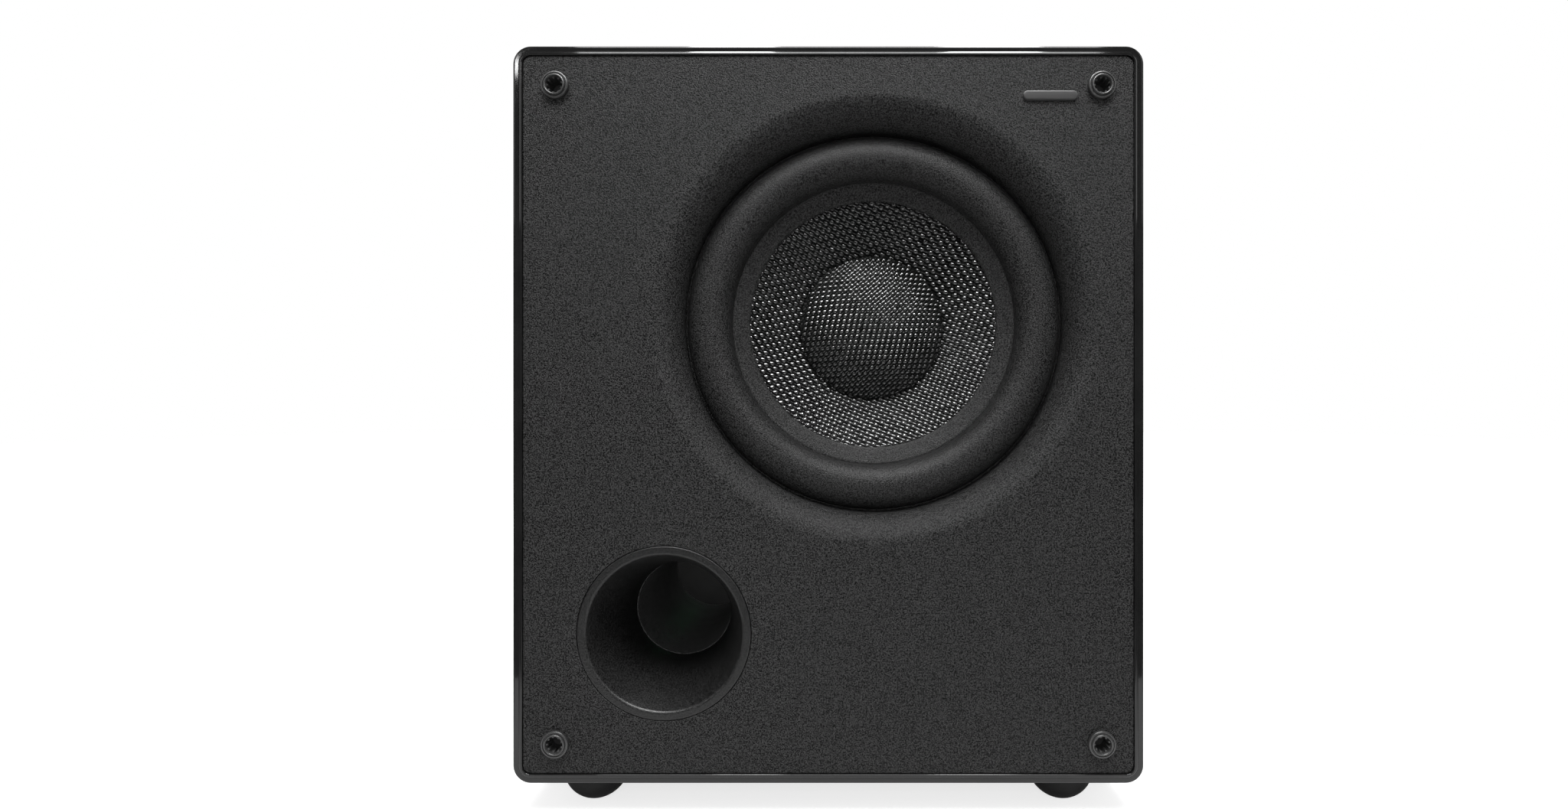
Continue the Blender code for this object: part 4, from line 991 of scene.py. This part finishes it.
def knob(name, x):
    """A fluted knob, the line on its face, and the ticks round it on the plate."""
    near, far, radius, sides, flutes = PLATE_BACK + 0.0013, PLATE_BACK + 0.0138, 0.010, 144, 24
    plain = [(0.0033, near + 0.009), (0.0033, near), (radius - 0.0006, near), (radius, near + 0.0004)]
    plain += [(radius, near + 0.0020)]
    fluted = [(radius - 0.0002, near + 0.0024), (radius - 0.0006, far - 0.0022)]
    fluted.append((radius - 0.0010, far - 0.0009))
    face = [(radius - 0.0018, far - 0.0002), (radius - 0.0026, far), (radius - 0.0032, far - 0.0001)]
    face += [(radius - 0.0038, far - 0.0005), (1e-7, far - 0.0005)]
    rings = []
    for profile, depth in ((plain, 0), (fluted, 0.00035), (face, 0)):
        for r, d in profile:
            ring = []
            for k in range(sides):
                a = TAU * k / sides
                cut = r - depth * (0.5 + 0.5 * math.cos(flutes * a))
                ring.append((x + cut * math.cos(a), CONTROL_Z + cut * math.sin(a)))
            rings.append(at(ring, d))
    shape = Shape(rings)
    shape.piece(f"{name}_knob_moulding", "black_plastic", f"{name}_control", [f"{name}_knob"], sharp=50)
    shape = Shape()
    shape.block((0.0010, 0.0008, 0.0052), (x, far - 0.0003, CONTROL_Z + 0.0040), bevel=0.0002)
    shape.piece(f"{name}_pointer", "bright_metal", f"{name}_control")
    shape = Shape()
    for k in range(11):
        a = math.radians(90 + 150 - 30 * k)
        long = 0.0024 if k in (0, 5, 10) else 0.0016
        r = 0.0120 + long / 2
        spot = (x + r * math.cos(a), PLATE_BACK + 0.00009, CONTROL_Z + r * math.sin(a))
        shape.block((long, 0.00014, 0.0005), spot, Matrix.Rotation(-a, 4, "Y"))
    shape.piece(f"{name}_scale", "bright_metal")


def slide_switches():
    bezel = [(-0.0014, 0.00005), (-0.0012, 0.0005), (-0.0002, 0.0006), (0.0001, 0.0003), (0.0001, -0.0012)]
    bezel = [(inset, PLATE_BACK + out) for inset, out in [*bezel, bezel[0]]]
    for name, x in SLIDERS.items():
        rings = stepped_rings(bezel, 0.0092, 0.0044, 0.0005, (x, CONTROL_Z), 4)
        Shape(rings).piece(f"{name}_bezel", "black_plastic")
        low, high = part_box(f"{name}_switch")
        mid, size = (low + high) / 2, high - low
        shape = Shape()
        shape.block(size, (mid.x, mid.y - FRONT_Y, mid.z), bevel=0.0004)
        for k in (-1, 0, 1):
            spot = (mid.x + 0.0011 * k, high.y - FRONT_Y + 0.0001, mid.z)
            shape.block((0.0004, 0.0003, size.z - 0.0008), spot, bevel=0.0001)
        shape.piece(f"{name}_button", "black_plastic", f"{name}_slider", [f"{name}_switch"], sharp=50)


def jacks():
    """Two sockets with a barrel, a coloured insulator and a collar, and their block behind the plate."""
    colours = {
        "upper": ((0.75, 0.74, 0.70), (0.82, 0.81, 0.78)),
        "lower": ((0.45, 0.02, 0.02), (0.55, 0.03, 0.03)),
    }
    end, back = PLATE_BACK + 0.0095, PLATE_DEPTH - 0.006
    barrel = [(0.0042, back), (0.0042, end - 0.0006), (0.0038, end), (0.0033, end), (0.0031, end - 0.0004)]
    barrel.append((0.0031, back))
    insulator = [(0.0030, back + 0.001), (0.0030, end - 0.0010)]
    insulator += [(0.0017, end - 0.0010), (0.0016, back + 0.001)]
    collar = [(0.0044, 0.0001), (0.0062, 0.0001), (0.0062, 0.0012), (0.0056, 0.0018), (0.0044, 0.0018)]
    collar = [(r, PLATE_BACK + out) for r, out in collar]
    for name, z in JACKS.items():
        spot = (KNOBS["crossover"], z)
        turned(f"jack_barrel_{name}", barrel, spot, "bright_metal", 48)
        paint = finish(f"insulator_{name}", *colours[name], (0.3, 0.4))
        turned(f"jack_insulator_{name}", insulator, spot, "black_plastic", 48, material=paint)
        turned(f"jack_collar_{name}", collar, spot, "black_plastic", 48)
    low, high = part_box("input_jacks")
    (mx, _, mz), thick = (low + high) / 2, 0.0105
    shape = Shape()
    shape.block((high.x - low.x, thick, high.z - low.z), (mx, low.y - FRONT_Y + thick / 2, mz), bevel=0.0008)
    shape.piece("jack_block", "black_plastic", replaces=["input_jacks"])


def inlet():
    """A flanged moulding with a deep mouth, two of whose corners are cut off, and three flat pins."""
    x, z = INLET_X, MAINS_Z
    face = PLATE_BACK + 0.003

    def mouth_ring(inset, depth):
        a, b, cut = 0.0118 - inset, 0.0083 - inset, 0.0045
        points = [(a, b), (-a, b), (-a, -b + cut), (-a + cut, -b), (a - cut, -b), (a, -b + cut)]
        return at([(x + px, z + pz) for px, pz in points], depth)

    flange = [(0.0023, 0.3840), (0.0023, PLATE_BACK + 0.0001), (0, PLATE_BACK + 0.0001)]
    flange += [(0, face - 0.0008), (0.0003, face - 0.0002), (0.0009, face)]
    outer = stepped_rings(flange, 0.031, 0.024, 0.002, (x, z), 6)
    mouth = [mouth_ring(0, face), mouth_ring(0.0006, face - 0.0006), mouth_ring(0.0006, 0.3935)]
    shape = Shape()
    shape.sunk(outer, mouth)
    shape.piece("inlet_moulding", "black_plastic", replaces=["mains_inlet"], sharp=30)
    shape = Shape()
    for dx, dz in ((-0.007, -0.0012), (0.0, 0.0030), (0.007, -0.0012)):
        shape.block((0.0020, 0.0125, 0.0040), (x + dx, 0.3999, z + dz), bevel=0.0005)
    shape.piece("inlet_pins", "bright_metal")


def rocker_switch():
    """A framed housing, and a dished rocker in it that is tilted to one side at rest."""
    x, z = ROCKER_X, MAINS_Z
    face = PLATE_BACK + 0.003
    frame_profile = [(0.0012, 0.3900), (0.0012, PLATE_BACK + 0.0001), (0, PLATE_BACK + 0.0001)]
    frame_profile += [(0, face - 0.0006), (0.0002, face - 0.0001), (0.0006, face)]
    outer = stepped_rings(frame_profile, 0.0150, 0.0210, 0.001, (x, z), 4)
    well = [(-0.0004, face), (0, face - 0.0004), (0, 0.3952)]
    inner = stepped_rings(well, 0.0106, 0.0166, 0.0005, (x, z), 4)
    shape = Shape()
    shape.sunk(outer, inner)
    shape.piece("rocker_housing", "black_plastic", replaces=["switch_housing"], sharp=35)
    tilt, half = Matrix.Rotation(math.radians(10), 4, "X"), 0.0070
    heights = [half - half * k / 12 * 2 for k in range(13)]
    outline = [(h, 0.0036 + 0.0016 * (h / half) ** 2) for h in heights]
    outline += [(-half, 0.0002), (-0.0025, -0.0060), (0.0025, -0.0060), (half, 0.0002)]
    rings = []
    for across, inset in ((-0.0050, 0.0003), (-0.0047, 0), (0.0047, 0), (0.0050, 0.0003)):
        ring = []
        for h, lift in outline:
            p = tilt @ Vector((across, lift - inset * (lift > 0), h * (1 - inset / half)))
            ring.append((x + p.x, FRONT_Y + 0.4050 + p.y, z + p.z))
        rings.append(ring)
    shape = Shape()
    shape.capped(rings)
    shape.piece("rocker_button", "black_plastic", "rocker", ["mains_rocker"], sharp=30)


def fuse_and_lamp():
    far, place_of_fuse = PLATE_BACK + 0.0062, (FUSE_X, MAINS_Z)
    profile = [(0.0054, 0.3850), (0.0054, PLATE_BACK + 0.0002), (0.0070, PLATE_BACK + 0.0002)]
    profile += [(0.0070, far - 0.0010), *arc((0.0062, far - 0.0008), 0.0008, 0, 90, 4)]
    rings = turned_rings(profile, place_of_fuse, 64)
    slot = stepped_rings([(0, far), (0, far - 0.0015)], 0.0090, 0.0014, 0.0003, place_of_fuse, 3)
    shape = Shape()
    shape.sunk(rings, slot)
    shape.piece("fuse_cap_moulding", "black_plastic", replaces=["fuse_cap"], sharp=40)
    lens_r, base, rise = 0.0024, PLATE_BACK + 0.0004, 0.0018
    lens = [(1e-7, 0.3960), (lens_r, 0.3960), (lens_r, base)]
    angles = np.radians([15, 30, 45, 60, 75, 89.9])
    lens += [(lens_r * math.cos(a), base + rise * math.sin(a)) for a in angles]
    turned("lamp_lens", lens, (LED_X, CONTROL_Z), "indicator_lens", 40, ["status_led"], closed=False)


# -------------------------------------------------------------------- build

camera()
own_lights = stage()
cabinet()
front_panel()
feet()
sockets()
badge()
port()
surround()
moving_assembly()
spider()
leads()
amplifier_plate()
heatsink()
for knob_name, knob_x in KNOBS.items():
    knob(knob_name, knob_x)
slide_switches()
jacks()
inlet()
rocker_switch()
fuse_and_lamp()

for light, taken_by in own_lights.items():
    light.light_linking.receiver_collection = bpy.data.collections.new(light.name)
    for piece_name in taken_by:
        light.light_linking.receiver_collection.objects.link(bpy.data.objects[piece_name])

# The CAD nodes that stay take their slot's finish.
NODE_FINISH = {
    "front_baffle": "fibreboard", "window_brace": "fibreboard", "rear_panel": "rear_board",
    "basket": "coated_casting", "driver_gasket": "gasket_foam", "amp_gasket": "gasket_foam",
    "coil_former": "former_foil", "voice_coil": "copper", "top_plate": "zinc_steel", "magnet": "ferrite",
    "pole_yoke": "zinc_steel", "driver_terminal": "black_plastic", "speaker_cable": "black_plastic",
    "circuit_board": "circuit_laminate", "volume_shaft": "bright_metal", "crossover_shaft": "bright_metal",
    "volume_pot": "bright_metal", "crossover_pot": "bright_metal", "slide_switch_body": "bright_metal",
}
for name, obj in frame["nodes"].items():
    if obj.hide_render:
        continue
    slot_name = NODE_FINISH.get(name, "zinc_steel" if name.startswith("driver_screw") else "black_plastic")
    obj.data.materials.clear()
    obj.data.materials.append(FINISHES[slot_name])
